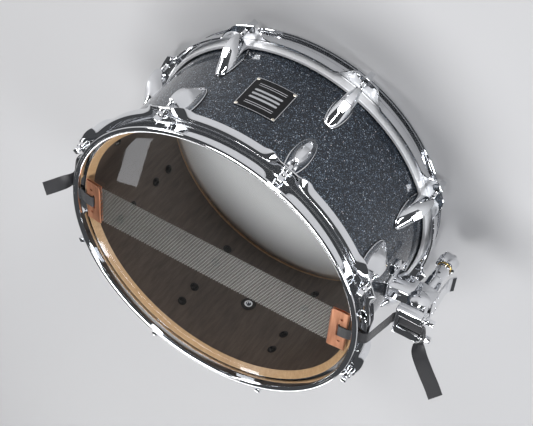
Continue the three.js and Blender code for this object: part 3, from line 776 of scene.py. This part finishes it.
def gate_lip(turn):
    """The tongue of sheet turned out under a gate, so that the strap bends over a smooth edge."""
    rows = []
    steps = 24
    start = HOOP_BORE + 0.5
    level = GATE_SILL - STEEL / 2
    least = 0.6  # what stands out at the tongue's two ends
    for k in range(steps + 1):
        share = 2 * k / steps - 1
        a = share * GATE_HALF / HOOP_BORE
        out = LEDGE * (1 - abs(share) ** 5) ** 0.5 + least
        path = curve_through([(start, level), (start + out * 0.7, level, 1.6), (start + out, level - 0.9)])
        outline = sheet_outline(path, STEEL - 0.1)
        rows.append([(p.x * math.cos(a), p.x * math.sin(a), p.y) for p in outline])
    return loft("lip", rows, matrix=turn)


# ---------------------------------------------------------------- lugs
LUG_TIP = 13.0  # heights above the shell's middle
LUG_BREAK = 40.0
LUG_WIDEST = 43.0
LUG_NOSE = 65.0
LUG_HALF = 10.6
LUG_BACK = SHELL_R + 0.7


def lug_half_width(h):
    if h < LUG_WIDEST:
        return LUG_HALF * math.sqrt(max(1 - ((LUG_WIDEST - h) / (LUG_WIDEST - LUG_TIP)) ** 2, 0)) ** 0.9
    return LUG_HALF - 4.2 * ((h - LUG_WIDEST) / (LUG_NOSE - LUG_WIDEST)) ** 1.7


def lug_front(h):
    """How far the lug stands out, and the half width of the facet along its front."""
    if h < LUG_BREAK:
        t = (h - LUG_TIP) / (LUG_BREAK - LUG_TIP)
        return 2.4 + 15.8 * t, 1.3 + 2.9 * t
    t = (h - LUG_BREAK) / 18.0
    return 21.9 - 3.7 * (1 - t) ** 2, 4.2 - 2.4 * (h - LUG_BREAK) / (LUG_NOSE - LUG_BREAK)


def lug_section(h, shrink=1.0):
    """Half the outline runs from the back up the bulging side to the facet's edge."""
    width = max(lug_half_width(h) * shrink, 0.05)
    out, ridge = lug_front(h)
    out *= shrink
    ridge = min(ridge, width * 0.62)
    side = []
    steps = 9
    for k in range(steps + 1):
        s = k / steps
        side.append((LUG_BACK + out * s, ridge + (width - ridge) * (1 - s**2.6)))
    return side + [(x, -y) for x, y in reversed(side)]


def lug_mesh():
    heights = [LUG_TIP + 0.05, LUG_TIP + 0.35, LUG_TIP + 0.9, LUG_TIP + 1.8]
    heights += [LUG_TIP + 3 + 3 * k for k in range(8)]
    heights += [LUG_BREAK - 0.35, LUG_BREAK, LUG_BREAK + 0.35]
    heights += [LUG_BREAK + 2.5 * k for k in range(1, 10)] + [LUG_NOSE - 0.9]
    rows = [[(x, y, h) for x, y in lug_section(h)] for h in heights]
    rows.append([(x, y, LUG_NOSE - 0.25) for x, y in lug_section(LUG_NOSE, 0.985)])
    rows.append([(x, y, LUG_NOSE) for x, y in lug_section(LUG_NOSE, 0.94)])
    lug = loft("lug", rows, sharp=24)
    bore = rod("bore", 3.3, (ROD_CIRCLE, 0, LUG_NOSE - 15), (ROD_CIRCLE, 0, LUG_NOSE + 1))
    return cut(lug, [bore], sharp=24)


def seat_mesh(name, margin, low, high):
    """A thin plate of the lug's outline, grown by margin and bent round the shell."""
    steps = 48
    centre = (LUG_TIP + LUG_NOSE) / 2
    reach = (LUG_NOSE - LUG_TIP) / 2
    outline = []
    for k in range(steps):
        a = 2 * math.pi * (k + 0.5) / steps
        h = centre - math.cos(a) * reach
        outline.append(Vector((math.copysign(lug_half_width(h), math.sin(a)), h)))
    grown = []
    for k, point in enumerate(outline):
        way = (outline[(k + 1) % steps] - outline[k - 1]).normalized()
        grown.append(point + Vector((way.y, -way.x)) * margin)
    rows = []
    for level, inset in ((low, 0.0), (high - 0.15, 0.0), (high, 0.2)):
        radius = SHELL_R + level
        ring = [g.lerp(p, inset) for g, p in zip(grown, outline)]
        rows.append([(radius * math.cos(p.x / SHELL_R), radius * math.sin(p.x / SHELL_R), p.y) for p in ring])
    return loft(name, rows, sharp=40)


def nut_mesh():
    """The sleeve of the swivel nut, which stands out of the lug's nose round the rod."""
    outline = closed_curve([(3.0, -4), (4.5, -4), (4.5, 1.2, 0.5), (3.9, 1.9, 0.3), (3.0, 1.9, 0.3)], 3)
    return turned("nut", outline, 40, shift(ROD_CIRCLE, 0, LUG_NOSE))


def lug_screws_mesh():
    """Two washer-head screws inside the shell that hold one lug."""
    washer = [(0, -0.3), (5.6, -0.3), (5.6, 0.7, 0.3), (3.9, 0.8, 0.2)]
    socket = [(3.6, 2.6, 0.8), (1.6, 3.3, 0.8), (1.3, 2.0, 0.1), (0, 2.0)]
    head = curve_through(washer + socket, steps=3)
    screws = []
    for h in (LUG_TIP + 11, LUG_NOSE - 14):
        turn = shift(SHELL_INNER, 0, h) @ quarter("Y", -1)
        screws.append(turned("screw", head, 28, turn))
    return several("screws", screws)


def make_lugs():
    gasket = seat_mesh("gasket", 1.0, 0.05, 0.75)
    lip = seat_mesh("lip", 0.6, 0.75, 1.3)
    lug, nut, screws = several("lug", [lug_mesh(), lip]), nut_mesh(), lug_screws_mesh()
    for side in ("batter", "snare"):
        for k, angle in enumerate(LUG_ANGLES):
            place = end_matrix(side) @ around(angle)
            name = f"{side}_lug_{k + 1}"
            chromed(copy_of(lug, f"{name}_cast", place), replaces=[name])
            put(copy_of(gasket, f"{name}_gasket", place), RUBBER)
            chromed(copy_of(nut, f"{name}_swivel_nut", place))
            # The screws' dark zinc is painted shade for the inside of the shell.
            put(copy_of(screws, f"{name}_screws", place), ZINC_IN_PAINTED_SHADE)
    for spare in (lug, gasket, nut, screws):
        bpy.data.objects.remove(spare)


# ---------------------------------------------------------------- tension rods
ROD_R = 2.7
ROD_DEPTH = 14.0
WASHER = 1.1
KEY = 3.15  # half the square head's width
KEY_TOP = EAR + 17.0


def rod_mesh():
    foot = LUG_NOSE - ROD_DEPTH
    seat = EAR + STEEL / 2 + WASHER + 0.05
    thread_top = LUG_NOSE + 7
    pitch = 0.85
    turns = int((thread_top - foot - 1) / pitch)
    profile = [(0, foot), (1.9, foot), (2.35, foot + 0.6)]
    for k in range(turns):
        h = foot + 1 + k * pitch
        profile += [(ROD_R, h), (2.3, h + pitch / 2)]
    profile += [(ROD_R, thread_top), (ROD_R, seat)]
    flange = [(ROD_R, 0), (5.9, 0, 0.3), (5.9, 1.2, 0.5), (4.6, 1.9, 0.7), (4.5, 7.0, 0.8), (3.4, 7.8)]
    profile += curve_through([(r, seat + h, *reach) for r, h, *reach in flange], steps=4)
    profile += [(0, seat + 7.8)]
    shaft = turned("tension_rod", profile, 40)
    head = block("key", (-KEY, KEY), (-KEY, KEY), (seat + 5, KEY_TOP), bevel=0.55)
    return combine(shaft, [head])


def make_rods():
    bar = rod_mesh()
    low = EAR + STEEL / 2 + 0.02
    high = low + WASHER
    ring = closed_curve([(3.1, low), (6.6, low, 0.2), (6.6, high, 0.35), (3.1, high, 0.2)], 3)
    washer = turned("washer", ring, 40)
    for side in ("batter", "snare"):
        for k, angle in enumerate(LUG_ANGLES):
            place = end_matrix(side) @ around(angle) @ shift(ROD_CIRCLE, 0, 0)
            # A key leaves each square head its own way round.
            lean = around((k * 37 + (11 if side == "batter" else 0)) % 90)
            name = f"{side}_rod_{k + 1}"
            made = copy_of(bar, f"{name}_threaded", place @ lean)
            chromed(made, body=f"{side}_tension_rod_{k + 1}", replaces=[name])
            chromed(copy_of(washer, f"{name}_washer", place))
    bpy.data.objects.remove(bar)
    bpy.data.objects.remove(washer)


# ---------------------------------------------------------------- snare wires
WIRE_COUNT = 24
BAND = 56.0
WIRE_END = 155.0
WIRE_RADIUS = 0.33
COIL_RADIUS = 0.76
COIL_PITCH = 3.48
STRAND_LAG = -2.3  # radians that each coil trails the one beside it


def make_wires():
    """Coiled strands side by side, each a helix of round wire."""
    level = SNARE_FACE + 0.45 + COIL_RADIUS + WIRE_RADIUS
    per_turn = 9
    turns = int(2 * WIRE_END / COIL_PITCH)
    sides = 4
    verts, faces = [], []
    for strand in range(WIRE_COUNT):
        y = (strand - (WIRE_COUNT - 1) / 2) * BAND / WIRE_COUNT
        start = len(verts)
        phase = strand * STRAND_LAG
        rows = turns * per_turn
        for k in range(rows + 1):
            a = 2 * math.pi * k / per_turn + phase
            x = -WIRE_END + 2 * WIRE_END * k / rows
            for s in range(sides):
                b = 2 * math.pi * (s + 0.5) / sides
                radius = COIL_RADIUS + WIRE_RADIUS * math.cos(b)
                along = x + WIRE_RADIUS * math.sin(b)
                verts.append((along, y - radius * math.cos(a), level + radius * math.sin(a)))
        faces += [tuple(start + i for i in f) for f in loft_faces(rows + 1, sides)]
    strands = new_piece("snare_strands", verts, faces, sharp=70)
    put(strands, WIRE, replaces=["snare_wires"])


def make_end_plate(side, turn):
    """One copper sheet folded over the strands' ends: a leaf on the head, and one that rises inwards."""
    sheet = 0.7
    inner, outer, half = 150.3, 171.3, 30.5
    low = SNARE_FACE + 0.12 + sheet / 2
    path = curve_through(
        [
            (inner, low), (outer - 5, low, 3.0), (outer - 0.2, low + 0.35, 1.4),
            (outer - 0.5, low + 2.1, 1.2), (outer - 7, low + 2.35, 3.0), (inner + 6, low + 3.0, 3.0),
            (inner, low + 3.9),
        ]
    )
    outline = sheet_outline(path, sheet)
    corner = 2.6
    columns = 28
    rows = []
    for k in range(columns + 1):
        y = half * (2 * k / columns - 1)
        rows.append([(p.x, y, p.y) for p in outline])
    plate = loft("plate", rows, sharp=50)
    for v in plate.data.vertices:
        x, y, z = v.co / MM
        near = max(corner - (x - inner), 0)
        pull = corner - math.sqrt(max(corner**2 - near**2, 0))
        ripple = 0.22 * math.sin(y / 7.5) * smooth((outer - x) / 14) if z > SNARE_FACE + 1.6 else 0
        v.co = Vector((x, y * (half - pull) / half, z + ripple)) * MM
    cut_low, cut_high = low + 1.2, low + 9
    slot = slab("slot", rectangle(158.8, 162.2, -10.2, 10.2, 0.9), cut_low, cut_high)
    hole_x, aside = 163.6, (-18, 18)
    holes = [rod("hole", 1.6, (hole_x, y, cut_low), (hole_x, y, cut_high), steps=24) for y in aside]
    cut(plate, [slot, *holes], sharp=50)
    plate.data.transform(scaled_to_metres(turn))
    put(tidy(plate, 50), COPPER, replaces=[f"{side}_end_plate"])


# ---------------------------------------------------------------- straps
STRAP_HALF = 8.0
STRAP_THICK = 0.55


def spline(stations, step=2.0):
    """A smooth line through stations of (point, width's direction), as the same pairs about step apart."""
    rows = []
    count = len(stations)
    for i in range(count - 1):
        (p1, w1), (p2, w2) = stations[i], stations[i + 1]
        p0 = stations[max(i - 1, 0)][0]
        p3 = stations[min(i + 2, count - 1)][0]
        pieces = max(2, round((p2 - p1).length / step))
        for k in range(pieces):
            t = k / pieces
            a, b = (p2 - p0) / 2, (p3 - p1) / 2
            reach = (p2 - p1).length
            a = a.normalized() * reach if a.length > reach else a
            b = b.normalized() * reach if b.length > reach else b
            point = (
                p1 * (2 * t**3 - 3 * t**2 + 1)
                + a * (t**3 - 2 * t**2 + t)
                + p2 * (3 * t**2 - 2 * t**3)
                + b * (t**3 - t**2)
            )
            rows.append((point, w1.lerp(w2, smooth(t)).normalized()))
    rows.append(stations[-1])
    return rows


def ribbon(name, stations, matrix=IDENTITY):
    """A woven strap along stations, and its length. Its UV map 'ribbon' is in millimetres."""
    line = spline([(Vector(p), Vector(w)) for p, w in stations])
    across = 8
    verts, uvs, length = [], [], 0.0
    for i, (point, wide) in enumerate(line):
        ahead = line[min(i + 1, len(line) - 1)][0] - line[max(i - 1, 0)][0]
        along = ahead.normalized()
        wide = (wide - along * wide.dot(along)).normalized()
        up = along.cross(wide)
        length += (point - line[i - 1][0]).length if i else 0
        ring = [(-1 + 2 * k / across, 1) for k in range(across + 1)]
        ring += [(1 - 2 * k / across, -1) for k in range(across + 1)]
        for w, u in ring:
            edge = 1.0 if abs(w) < 0.8 else 1.25  # the selvedge is a little thicker
            verts.append(matrix @ (point + wide * w * STRAP_HALF + up * u * STRAP_THICK / 2 * edge))
            uvs.append((w * STRAP_HALF, length))
    sides = 2 * (across + 1)
    mesh = bpy.data.meshes.new(name)
    mesh.from_pydata([v * MM for v in verts], [], loft_faces(len(line), sides))
    layer = mesh.uv_layers.new(name="ribbon")
    for loop in mesh.loops:
        layer.data[loop.index].uv = uvs[loop.vertex_index]
    mesh.shade_smooth()
    mesh.set_sharp_from_angle(angle=math.radians(50))
    with editing(mesh) as bm:
        bmesh.ops.recalc_face_normals(bm, faces=bm.faces)
    return add_object(name, mesh), length


ALONG_Y = (0, 1, 0)


def flat(x, z):
    return (x, 0, z), ALONG_Y


def over_the_gate():
    """From under the end plate's leaf, up through its slot, over its fold and out over the hoop's gate."""
    return [
        flat(164.5, SNARE_FACE + 1.5), flat(162.4, SNARE_FACE + 1.7), flat(160.6, SNARE_FACE + 3.1),
        flat(162.2, SNARE_FACE + 4.6), flat(165.8, SNARE_FACE + 4.3), flat(171.8, SNARE_FACE + 3.7),
        flat(180.5, SNARE_FACE + 0.6), flat(188.2, SNARE_FACE - 1.4), flat(191.4, SNARE_FACE - 2.9),
        flat(193.4, SNARE_FACE - 7.0),
    ]


# ---------------------------------------------------------------- strainer
PIVOT = (218.0, 110.0)  # the lever's axis: radius and height
SHAFT_X = 217.0
CARRIER_FLOOR = 125.6
STRAP_BED = 132.0
CLAMP_INNER, CLAMP_OUTER = 204.0, 234.0
CLAMP_HALF = 20.0
CLAMP_TOP = 136.5
SCREW_Z = 129.6
SCREW_Y = 14.0
TAP = 2.3
CLEAR_HOLE = 2.4
FLANGE = (SHELL_R + 0.4, SHELL_R + 3.6)  # inner and outer radius of the brackets' flanges
FLANGE_SCREW_Y = 19.5
BUTT_BED = 134.0
BUTT_SCREW_X = 205.5


def pair(radius, start, end, matrix=IDENTITY):
    """Two cutters for key screws, one each side, from start to end as (radius, height)."""
    (x0, z0), (x1, z1) = start, end
    return [rod("hole", radius, (x0, y, z0), (x1, y, z1), matrix, 20) for y in (-SCREW_Y, SCREW_Y)]


def casting(name, corners, half, matrix, bevel):
    """A block drawn from the side as (radius, height), half wide each side of its middle."""
    return slab(name, closed_curve(corners), -half, half, "XZ", matrix, bevel)


def lobed_outline(half, low, high, lobe_z, lobe_r):
    """A bracket's flange: a tall middle with a round lobe on each side for its screw."""
    neck = half - lobe_r
    waist, shoulder = neck * 0.62, neck * 0.8
    under, over = lobe_z - lobe_r, lobe_z + lobe_r
    right = [(waist, low, 3.5), (shoulder, under, 3), (half, under, lobe_r)]
    right += [(half, over, lobe_r), (shoulder, over, 3), (waist, high, 3.5)]
    left = [(-y, h, reach) for y, h, reach in reversed(right)]
    return closed_curve(left[-1:] + right + left[:-1], 8)


def dome_screw(name, place, radius=3.6):
    edge = (radius, 0.4, 0.3)
    head = curve_through([(0, -0.5), (radius, -0.5), edge, (radius * 0.72, 1.7, 1.0), (0.001, 2.1)], steps=4)
    screw = turned(name, head, 32, place)
    return cut(screw, [block("slot", (-radius, radius), (-0.45, 0.45), (1.2, 3), matrix=place, bevel=0)])


def flange_screws(name, side, height):
    """The two screws that hold a bracket's flange to the shell."""
    for k, y in enumerate((-FLANGE_SCREW_Y, FLANGE_SCREW_Y)):
        seat = shift(SHELL_R + 3.5, 0, height) @ quarter("Y")
        put(dome_screw(f"{name}_{k + 1}", side @ around(math.degrees(y / SHELL_R)) @ seat), CHROME)


def make_base():
    flange = bent_slab("strainer_bracket", lobed_outline(27, 66, 108, 85, 8), *FLANGE, STRAINER)
    arm = casting("arm", [(178, 76, 2), (206.7, 80, 3), (206.7, 104, 3), (178, 106, 2)], 9, STRAINER, 0.9)
    rib = casting("rib", [(178, 70), (190, 78, 6), (203, 90), (178, 100)], 2.5, STRAINER, 0.5)
    chromed(combine(flange, [arm, rib]), replaces=["strainer_base"])
    flange_screws("strainer_bracket_screw", STRAINER, 85)


HOUSING_HALF = 13.5
CAP_SOCKET = 3.4
SHAFT_BORE = 5.0


def make_housing():
    x, z = PIVOT
    half = HOUSING_HALF
    corners = [(207.2, 82, 3), (229, 84, 4), (229, 108), (207.2, 108)]
    body = casting("strainer_housing_cast", corners, half, STRAINER, 1.1)
    barrel = rod("barrel", 12.2, (x, -half - 0.1, z), (x, half + 0.1, z), STRAINER, 56, 0.8)
    bore, slim, wide = SHAFT_BORE, 8.2, 8.9
    lower = [(bore, 44, 0.4), (slim, 44, 0.8), (slim, 62, 0.6)]
    upper = [(wide, 63, 0.6), (wide, 84, 0.6), (wide, 90), (bore, 90)]
    tube = turned("tube", closed_curve(lower + upper, 4), 48, STRAINER @ shift(SHAFT_X, 0, 0))
    combine(body, [barrel, tube])
    back = block("back", (200, 206.9), (-15, 15), (80, 130), STRAINER, 0)
    shaft = rod("bore", bore, (SHAFT_X, 0, 40), (SHAFT_X, 0, 130), STRAINER, 32)
    pins = [rod("pin", CAP_SOCKET, (x, s * 9.6, z), (x, s * 16, z), STRAINER, 24) for s in (-1, 1)]
    side_hole = rod("hole", 1.5, (SHAFT_X, 4, 56), (SHAFT_X, 12, 56), STRAINER, 20)
    cut(body, [back, shaft, *pins, side_hole])
    chromed(body, replaces=["strainer_housing"])


WEB = 231.0  # radius of the lever's inner face
WEB_SKIN = 1.6
WEB_HALF = 16.1


def lever_plate():
    """The lever's bent sheet, trimmed to a waist."""
    middle = WEB + WEB_SKIN / 2
    path = curve_through([(middle, 105), (middle, 60, 6), (WEB + 6.4, 53.6, 1.0)], steps=10)
    profile = sheet_outline(path, WEB_SKIN, 0.6)
    plate = slab("throw_off_lever_bent", profile, -WEB_HALF - 0.9, WEB_HALF + 0.9, "XZ", STRAINER)
    edge = [(WEB_HALF, 110), (WEB_HALF, 84, 6), (11.6, 71, 7), (11.6, 50), (30, 50), (30, 110)]
    trims = []
    for s in (-1, 1):
        outline = closed_curve([(s * y, h, *reach) for y, h, *reach in edge])
        trims.append(slab("trim", outline, WEB - 3, WEB + 12, "YZ", STRAINER))
    return cut(plate, trims)


def lever_cheeks():
    x, z = PIVOT
    arc = [(x + 12 * math.cos(a), z + 12 * math.sin(a)) for a in [0.25 + 0.18 * k for k in range(23)]]
    outline = [(WEB + WEB_SKIN, 86), (WEB + WEB_SKIN, 104), *arc]
    inside = WEB_HALF - WEB_SKIN
    spans = ((-WEB_HALF, -inside), (inside, WEB_HALF))
    return [slab("cheek", outline, low, high, "XZ", STRAINER, 0.3) for low, high in spans]


def lever_caps():
    """The domed pin caps that the lever turns on, each with a dimple."""
    x, z = PIVOT
    pin = [(0, 10), (3.1, 10), (3.1, 14.9)]
    crown = [(12.6, 14.9, 0.5), (12.6, 16.8, 0.8), (10.4, 18.4, 2.0), (4.2, 20.4, 2.0), (0, 20.8)]
    dome = curve_through(pin + crown)
    caps = []
    for s in (-1, 1):
        turn = STRAINER @ shift(x, 0, z) @ quarter("X", -s)
        dimple = rod("dimple", 2.0, (x, s * 19.6, z), (x, s * 22, z), STRAINER, 24)
        caps.append(cut(turned("cap", dome, 56, turn), [dimple]))
    return caps


def make_lever():
    lever = combine(lever_plate(), [*lever_cheeks(), *lever_caps()])
    chromed(lever, body="lever", replaces=["throw_off_lever"])
    rivet = curve_through([(0, -1.2), (1.7, -1.2), (1.7, 0.2, 0.2), (1.1, 0.8, 0.5), (0, 0.9)], steps=3)
    for k, (y, h) in enumerate([(-9.5, 98), (-9.5, 90), (9.5, 98), (9.5, 90)]):
        place = STRAINER @ shift(WEB + WEB_SKIN, y, h) @ quarter("Y")
        put(turned(f"lever_rivet_{k + 1}", rivet, 24, place), CHROME, body="lever")


def make_clamp():
    inner, outer, half, top = CLAMP_INNER, CLAMP_OUTER, CLAMP_HALF, CLAMP_TOP
    cast = block("strap_clamp_cast", (inner, outer), (-half, half), (CARRIER_FLOOR, STRAP_BED), STRAINER, 0.8)
    ends = []
    for y in ((-half, -9.2), (9.2, half)):
        ends.append(block("end", (inner, outer), y, (STRAP_BED - 1.5, top), STRAINER, 0.8))
    bridge = block("bridge", (inner, inner + 5), (-half, half), (STRAP_BED + 1.5, top + 0.8), STRAINER, 1.1)
    stem = rod("stem", 4.5, (SHAFT_X, 0, 86), (SHAFT_X, 0, CARRIER_FLOOR + 1), STRAINER, 36)
    combine(cast, [*ends, bridge, stem])
    cut(cast, pair(TAP, (222, SCREW_Z), (outer + 1, SCREW_Z), STRAINER))
    chromed(cast, body="strap_clamp", replaces=["strap_clamp_block"])


def make_clamp_plate():
    """The plate on the clamp's front, notched where the strap passes over it."""
    outer, half, top = CLAMP_OUTER, CLAMP_HALF, CLAMP_TOP
    notch, sill = 9.4, STRAP_BED - 0.4
    face = outer + 0.15
    foot = [(-half, 122.5, 2), (half, 122.5, 2), (half, top, 1.6)]
    gap = [(notch, top, 1.0), (notch, sill, 1.2), (-notch, sill, 1.2), (-notch, top, 1.0), (-half, top, 1.6)]
    outline = closed_curve(foot + gap, 4)
    plate = slab("strap_clamp_front", outline, face, face + 2.75, "YZ", STRAINER, 0.5)
    cut(plate, pair(CLEAR_HOLE, (outer - 1, SCREW_Z), (outer + 6, SCREW_Z), STRAINER))
    chromed(plate, body="strap_clamp", replaces=["strap_clamp_plate"])


def key_screw():
    """A drum-key screw along +Z with its seat at 0."""
    profile = [(0, -13), (1.6, -13)]
    for k in range(12):
        profile += [(2.05, -12.6 + k), (1.7, -12.1 + k)]
    head = [(2.05, 0), (4.6, 0, 0.3), (4.6, 1.4, 0.4), (3.7, 2.4, 0.8), (3.4, 4.6)]
    profile += curve_through(head, steps=3) + [(0, 4.6)]
    shaft = turned("key_screw", profile, 32)
    return combine(shaft, [block("key", (-2.9, 2.9), (-2.9, 2.9), (2.4, 10), bevel=0.5)])


def make_key_screws():
    screw = key_screw()
    seat = shift(CLAMP_OUTER + 3.0, 0, SCREW_Z) @ quarter("Y")
    butt_seat = shift(BUTT_SCREW_X, 0, BUTT_BED + 4.2)
    for y, side, lean, butt_lean in ((-SCREW_Y, "right", -20, 50), (SCREW_Y, "left", 12, 25)):
        aside = shift(0, y, 0)
        place = STRAINER @ aside @ seat @ around(lean)
        made = copy_of(screw, f"strap_clamp_key_screw_{side}", place)
        chromed(made, body="strap_clamp", replaces=[f"strap_clamp_screw_{side}"])
        made = copy_of(screw, f"butt_key_screw_{side}", aside @ butt_seat @ around(butt_lean))
        chromed(made, replaces=[f"butt_clamp_screw_{side}"])
    bpy.data.objects.remove(screw)


def lobed_ring(radius, height, lobes=6, wave=0.9, steps=72):
    rows = [(a, radius + wave * math.cos(lobes * a)) for a in turns_of(steps)]
    return [(r * math.cos(a), r * math.sin(a), height) for a, r in rows]


def make_knob():
    """A lobed grip with a crowned end, a brass stop collar and the threaded stem that lifts the clamp."""
    crown = [(6.0, 23.6), (8.2, 23.7), (9.6, 24.2), (10.5, 25.1)]
    levels = [*crown, (10.9, 26.6), (10.9, 38.0), (10.5, 39.1), (9.6, 39.5)]
    place = STRAINER @ shift(SHAFT_X, 0, 0)
    grip = loft("adjuster_knob_grip", [lobed_ring(r, h) for r, h in levels], matrix=place, sharp=28)
    neck = [(3, 38), (7.2, 38), (7.2, 41.4, 0.5), (5.8, 41.8, 0.2), (5.8, 43.6, 0.3), (3, 43.6)]
    combine(grip, [turned("neck", closed_curve(neck, 3), 40, place)])
    chromed(grip, body="adjuster", replaces=["adjuster_knob"])
    collar = closed_curve([(7.25, 39.6, 0.2), (8.6, 39.6, 0.4), (8.6, 41.0, 0.4), (7.25, 41.0, 0.2)], 3)
    put(turned("adjuster_brass_ring", collar, 48, place), BRASS, body="adjuster")
    thread = [(0, 41), (2.6, 41)]
    for k in range(50):
        thread += [(3.0, 42 + 0.8 * k), (2.6, 42.4 + 0.8 * k)]
    thread += [(2.4, 82.2), (0, 82.2)]
    put(turned("adjuster_stem", thread, 32, place), ZINC, body="adjuster")


def make_strainer_straps():
    down = [*over_the_gate(), flat(196.6, 158.0), flat(200.9, 139.6)]
    strap, length = ribbon("strainer_strap_woven", down, STRAINER)
    strap.data.materials.append(RIBBON)
    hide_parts("strainer_strap")
    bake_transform(strap)
    tail = [
        flat(201.0, 138.9), flat(201.6, 135.4), flat(203.6, 133.0), flat(207.5, 132.6), flat(220.0, 132.6),
        flat(234.0, 132.6), flat(238.0, 133.0), ((241, -0.8, 136.2), (0.1, 0.98, 0.18)),
        ((241.5, -2.6, 141.5), (0.4, 0.88, 0.15)), ((240.6, -4.6, 148), (0.65, 0.72, -0.12)),
        ((246, -9.4, 155.4), (0.78, 0.42, -0.44)), ((258.7, -20.4, 163), (0.72, 0.26, -0.64)),
        ((271.8, -31.3, 169.5), (0.69, 0.25, -0.67)), ((280.2, -38.9, 174.3), (0.69, 0.25, -0.67)),
    ]
    strap, length = ribbon("strainer_strap_loose_tail", tail, STRAINER)
    put(strap, RIBBON, body="strap_clamp", replaces=["strainer_strap_tail"])


# ---------------------------------------------------------------- butt
def make_butt():
    base = bent_slab("butt_bracket", lobed_outline(27, 99, 134, 115, 8), *FLANGE, around(0))
    corners = [(178, 108, 2), (204, 112, 5), (212, 120, 4), (212, BUTT_BED), (178, BUTT_BED)]
    combine(base, [casting("body", corners, CLAMP_HALF, around(0), 0.9)])
    cut(base, pair(TAP, (BUTT_SCREW_X, 117), (BUTT_SCREW_X, BUTT_BED + 1)))
    chromed(base, replaces=["butt_base"])
    low = BUTT_BED + 1.4
    plate = block("butt_clamp_bar", (200, 211), (-CLAMP_HALF, CLAMP_HALF), (low, low + 2.6), bevel=0.7)
    cut(plate, pair(CLEAR_HOLE, (BUTT_SCREW_X, low - 1), (BUTT_SCREW_X, low + 4)))
    chromed(plate, replaces=["butt_clamp_plate"])
    flange_screws("butt_bracket_screw", around(0), 105)


def make_butt_strap():
    stations = [
        *over_the_gate(),
        flat(195.0, 152), flat(195.4, 141), flat(196.4, 136.9), flat(199.0, BUTT_BED + 0.75),
        flat(205.0, BUTT_BED + 0.7), flat(211.5, BUTT_BED + 0.7), ((214, 0.2, 136.4), ALONG_Y),
        ((214.3, 0.6, 143), ALONG_Y), ((211.5, 0.3, 149), ALONG_Y), ((207, 0.5, 155.8), ALONG_Y),
        ((203.7, 0.8, 162), ALONG_Y), ((204.6, 1.6, 168), (-0.15, 0.95, 0.15)),
        ((213, 6, 177.2), (-0.42, 0.76, 0.45)), ((226.4, 11.8, 190.4), (-0.48, 0.67, 0.57)),
    ]
    strap, length = ribbon("butt_strap_woven", stations)
    put(strap, RIBBON, replaces=["butt_strap"])


# ---------------------------------------------------------------- studio
def make_floor():
    """A plain pale floor, just under the batter rim."""
    level = CAD_BOX[0].z - 0.0005
    reach = 9.0
    mesh = bpy.data.meshes.new("floor")
    corners = rectangle(-reach, reach, -reach, reach)
    mesh.from_pydata([(x, y, level) for x, y in corners], [], [(0, 1, 2, 3)])
    floor = add_object("floor", mesh)
    look = Look("pale_floor", roughness=0.75)
    cloud = look.noise(1.3, 2)
    look.feed("Base Color", look.ramp(cloud, (0.3, (0.46, 0.46, 0.47)), (0.7, (0.49, 0.49, 0.50))))
    mesh.materials.append(look.material)


def soft_light(name, place, aim, size, watts, colour=(1, 1, 1), roll=0.0):
    data = bpy.data.lights.new(name, "AREA")
    data.shape = "RECTANGLE"
    data.size, data.size_y = size
    data.energy = watts
    data.color = colour
    light = add_object(name, data)
    light.location = place
    facing = (Vector(aim) - Vector(place)).to_track_quat("-Z", "Y")
    light.rotation_euler = (facing @ Quaternion((0, 0, 1), math.radians(roll))).to_euler()


def make_studio():
    make_floor()
    aim = (0, 0, 0.1)
    soft_light("overhead_softbox", (0.15, 0.45, 1.9), aim, (1.1, 0.8), 34)
    soft_light("left_strip", (1.6, -1.0, 0.75), aim, (0.5, 1.5), 24)
    soft_light("front_strip", (-0.8, -2.0, 0.75), aim, (0.35, 0.9), 26)
    soft_light("right_strip", (-1.8, 0.2, 0.8), aim, (0.4, 1.4), 20, (0.95, 0.97, 1.0))
    soft_light("back_softbox", (0.2, 2.0, 0.5), aim, (1.3, 0.4), 10)
    soft_light("window_panel", (1.758, 2.715, 2.44), aim, (0.085, 0.245), 0.2, roll=30)
    world = bpy.data.worlds.new("studio")
    world.use_nodes = True
    glow = world.node_tree.nodes["Background"].inputs
    glow["Color"].default_value = (0.55, 0.57, 0.60, 1)
    glow["Strength"].default_value = 0.12
    bpy.context.scene.world = world
    bpy.context.scene.view_settings.view_transform = "Standard"


def make_camera():
    """Looks down into the snare side from in front of the badge, rolled so that the drum hangs diagonally."""
    place = Vector((-0.4827, -1.1062, 0.9808))
    aim = Vector((-0.0104, -0.0004, 0.0841))
    roll = math.radians(-139.1)
    data = bpy.data.cameras.new("camera")
    data.sensor_width = 36.0
    data.lens = 88.48
    data.clip_end = 50
    camera = add_object("camera", data)
    camera.location = place
    level = (aim - place).to_track_quat("-Z", "Y")
    camera.rotation_mode = "QUATERNION"
    camera.rotation_quaternion = level @ Matrix.Rotation(roll, 4, "Z").to_quaternion()
    bpy.context.scene.camera = camera


# ---------------------------------------------------------------- the drum
make_camera()
make_studio()
make_shell()
make_vent()
make_badge()
make_films()
make_flesh_hoops()
make_hoop("batter")
make_hoop("snare")
make_lugs()
make_rods()
make_wires()
make_end_plate("strainer", STRAINER)
make_end_plate("butt", around(0))
make_base()
make_housing()
make_lever()
make_clamp()
make_clamp_plate()
make_key_screws()
make_knob()
make_strainer_straps()
make_butt()
make_butt_strap()
